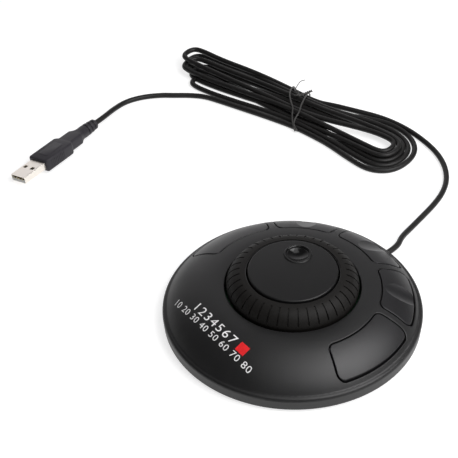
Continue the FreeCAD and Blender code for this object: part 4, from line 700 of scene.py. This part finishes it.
FLOOR_REACH = 6
FLOOR_GLOW = 0.7
floor_mesh = bpy.data.meshes.new("floor")
floor_mesh.from_pydata([(x * FLOOR_REACH, y * FLOOR_REACH, 0) for x, y in ((-1, -1), (1, -1), (1, 1), (-1, 1))],
                       [], [(0, 1, 2, 3)])
floor = bpy.data.objects.new("floor", floor_mesh)
bpy.context.scene.collection.objects.link(floor)
floor_paint, floor_shader = new_material("floor_paint", (0.5, 0.5, 0.5), 0.95)
tree = floor_paint.node_tree
rays = node(tree, "ShaderNodeLightPath")
seen = math_node(tree, "MAXIMUM", rays.outputs["Is Camera Ray"], math_node(
    tree, "MAXIMUM", rays.outputs["Is Glossy Ray"], rays.outputs["Is Transmission Ray"]))
floor_shader.inputs["Emission Color"].default_value = (1, 1, 1, 1)
tree.links.new(math_node(tree, "MULTIPLY", seen, FLOOR_GLOW), floor_shader.inputs["Emission Strength"])
floor_mesh.materials.append(floor_paint)

# Which way the wall lies, how fast it fades round its middle, how high it is full and where it ends.
WALL_SIDE = (-0.83, 0.441, 0.342)
WALL_FADE = 5.0
WALL_FULL, WALL_TOP = 0.55, 0.88
WALL_LIGHT = 0.95
ROOM_LIGHT = 0.05
world = bpy.data.worlds.new("studio")
bpy.context.scene.world = world
world.use_nodes = True
tree = world.node_tree
rays = node(tree, "ShaderNodeLightPath")
camera_only = node(tree, "ShaderNodeMixShader")
around = tree.nodes["Background"]
around.inputs["Color"].default_value = (1.0, 0.98, 1.0, 1)
toward = node(tree, "ShaderNodeTexCoord").outputs["Generated"]
facing = node(tree, "ShaderNodeVectorMath", i0=toward, i1=WALL_SIDE)
facing.operation = "DOT_PRODUCT"
wall = math_node(tree, "POWER", math_node(tree, "MAXIMUM", facing.outputs["Value"], 0.0), WALL_FADE)
upward = node(tree, "ShaderNodeSeparateXYZ", i0=toward).outputs[2]
height = node(tree, "ShaderNodeMapRange", Value=upward, **{"From Min": WALL_TOP, "From Max": WALL_FULL})
height.interpolation_type = "SMOOTHSTEP"
below_top = math_node(tree, "MULTIPLY", wall, height.outputs[0])
tree.links.new(math_node(tree, "MULTIPLY_ADD", below_top, WALL_LIGHT, ROOM_LIGHT), around.inputs["Strength"])
white = node(tree, "ShaderNodeBackground", Color=(1, 1, 1, 1), Strength=1.0)
tree.links.new(rays.outputs["Is Camera Ray"], camera_only.inputs[0])
tree.links.new(around.outputs[0], camera_only.inputs[1])
tree.links.new(white.outputs[0], camera_only.inputs[2])
tree.links.new(camera_only.outputs[0], tree.nodes["World Output"].inputs[0])


def soft_box(name, place, aim, width, height, power, colour=(1, 1, 1)):
    """A rectangular lamp that hangs at one place and points at another."""
    lamp = bpy.data.lights.new(name, "AREA")
    lamp.shape = "RECTANGLE"
    lamp.size = width
    lamp.size_y = height
    lamp.energy = power
    lamp.color = colour
    piece = bpy.data.objects.new(name, lamp)
    piece.location = place
    piece.rotation_euler = (Vector(aim) - Vector(place)).to_track_quat("-Z", "Y").to_euler()
    bpy.context.scene.collection.objects.link(piece)


soft_box("key_box", (0.57, 0.3, 0.77), (0, 0, 0), 0.9, 0.7, 9.0, (1.0, 0.99, 1.0))
soft_box("top_box", (0.42, -0.2, 0.88), (0, 0, 0), 0.8, 0.8, 2.3)
soft_box("dimple_box", (0.08, 0.22, 0.97), (0, 0, 0), 0.5, 0.5, 1.4)

camera_data = bpy.data.cameras.new("camera")
camera_data.sensor_width = 36
camera_data.lens = 102.18
camera = bpy.data.objects.new("camera", camera_data)
camera_place = (0.380478, -0.336619, 0.492923)
right = Vector((0.62398, 0.78124, -0.01753))
up = Vector((-0.49749, 0.41445, 0.76205))
behind = Vector((0.60261, -0.46679, 0.64728))
camera_turn = Matrix((right, up, behind)).transposed().to_4x4()
camera.matrix_world = Matrix.Translation(camera_place) @ camera_turn
bpy.context.scene.collection.objects.link(camera)
bpy.context.scene.camera = camera
bpy.context.scene.view_settings.view_transform = "Standard"
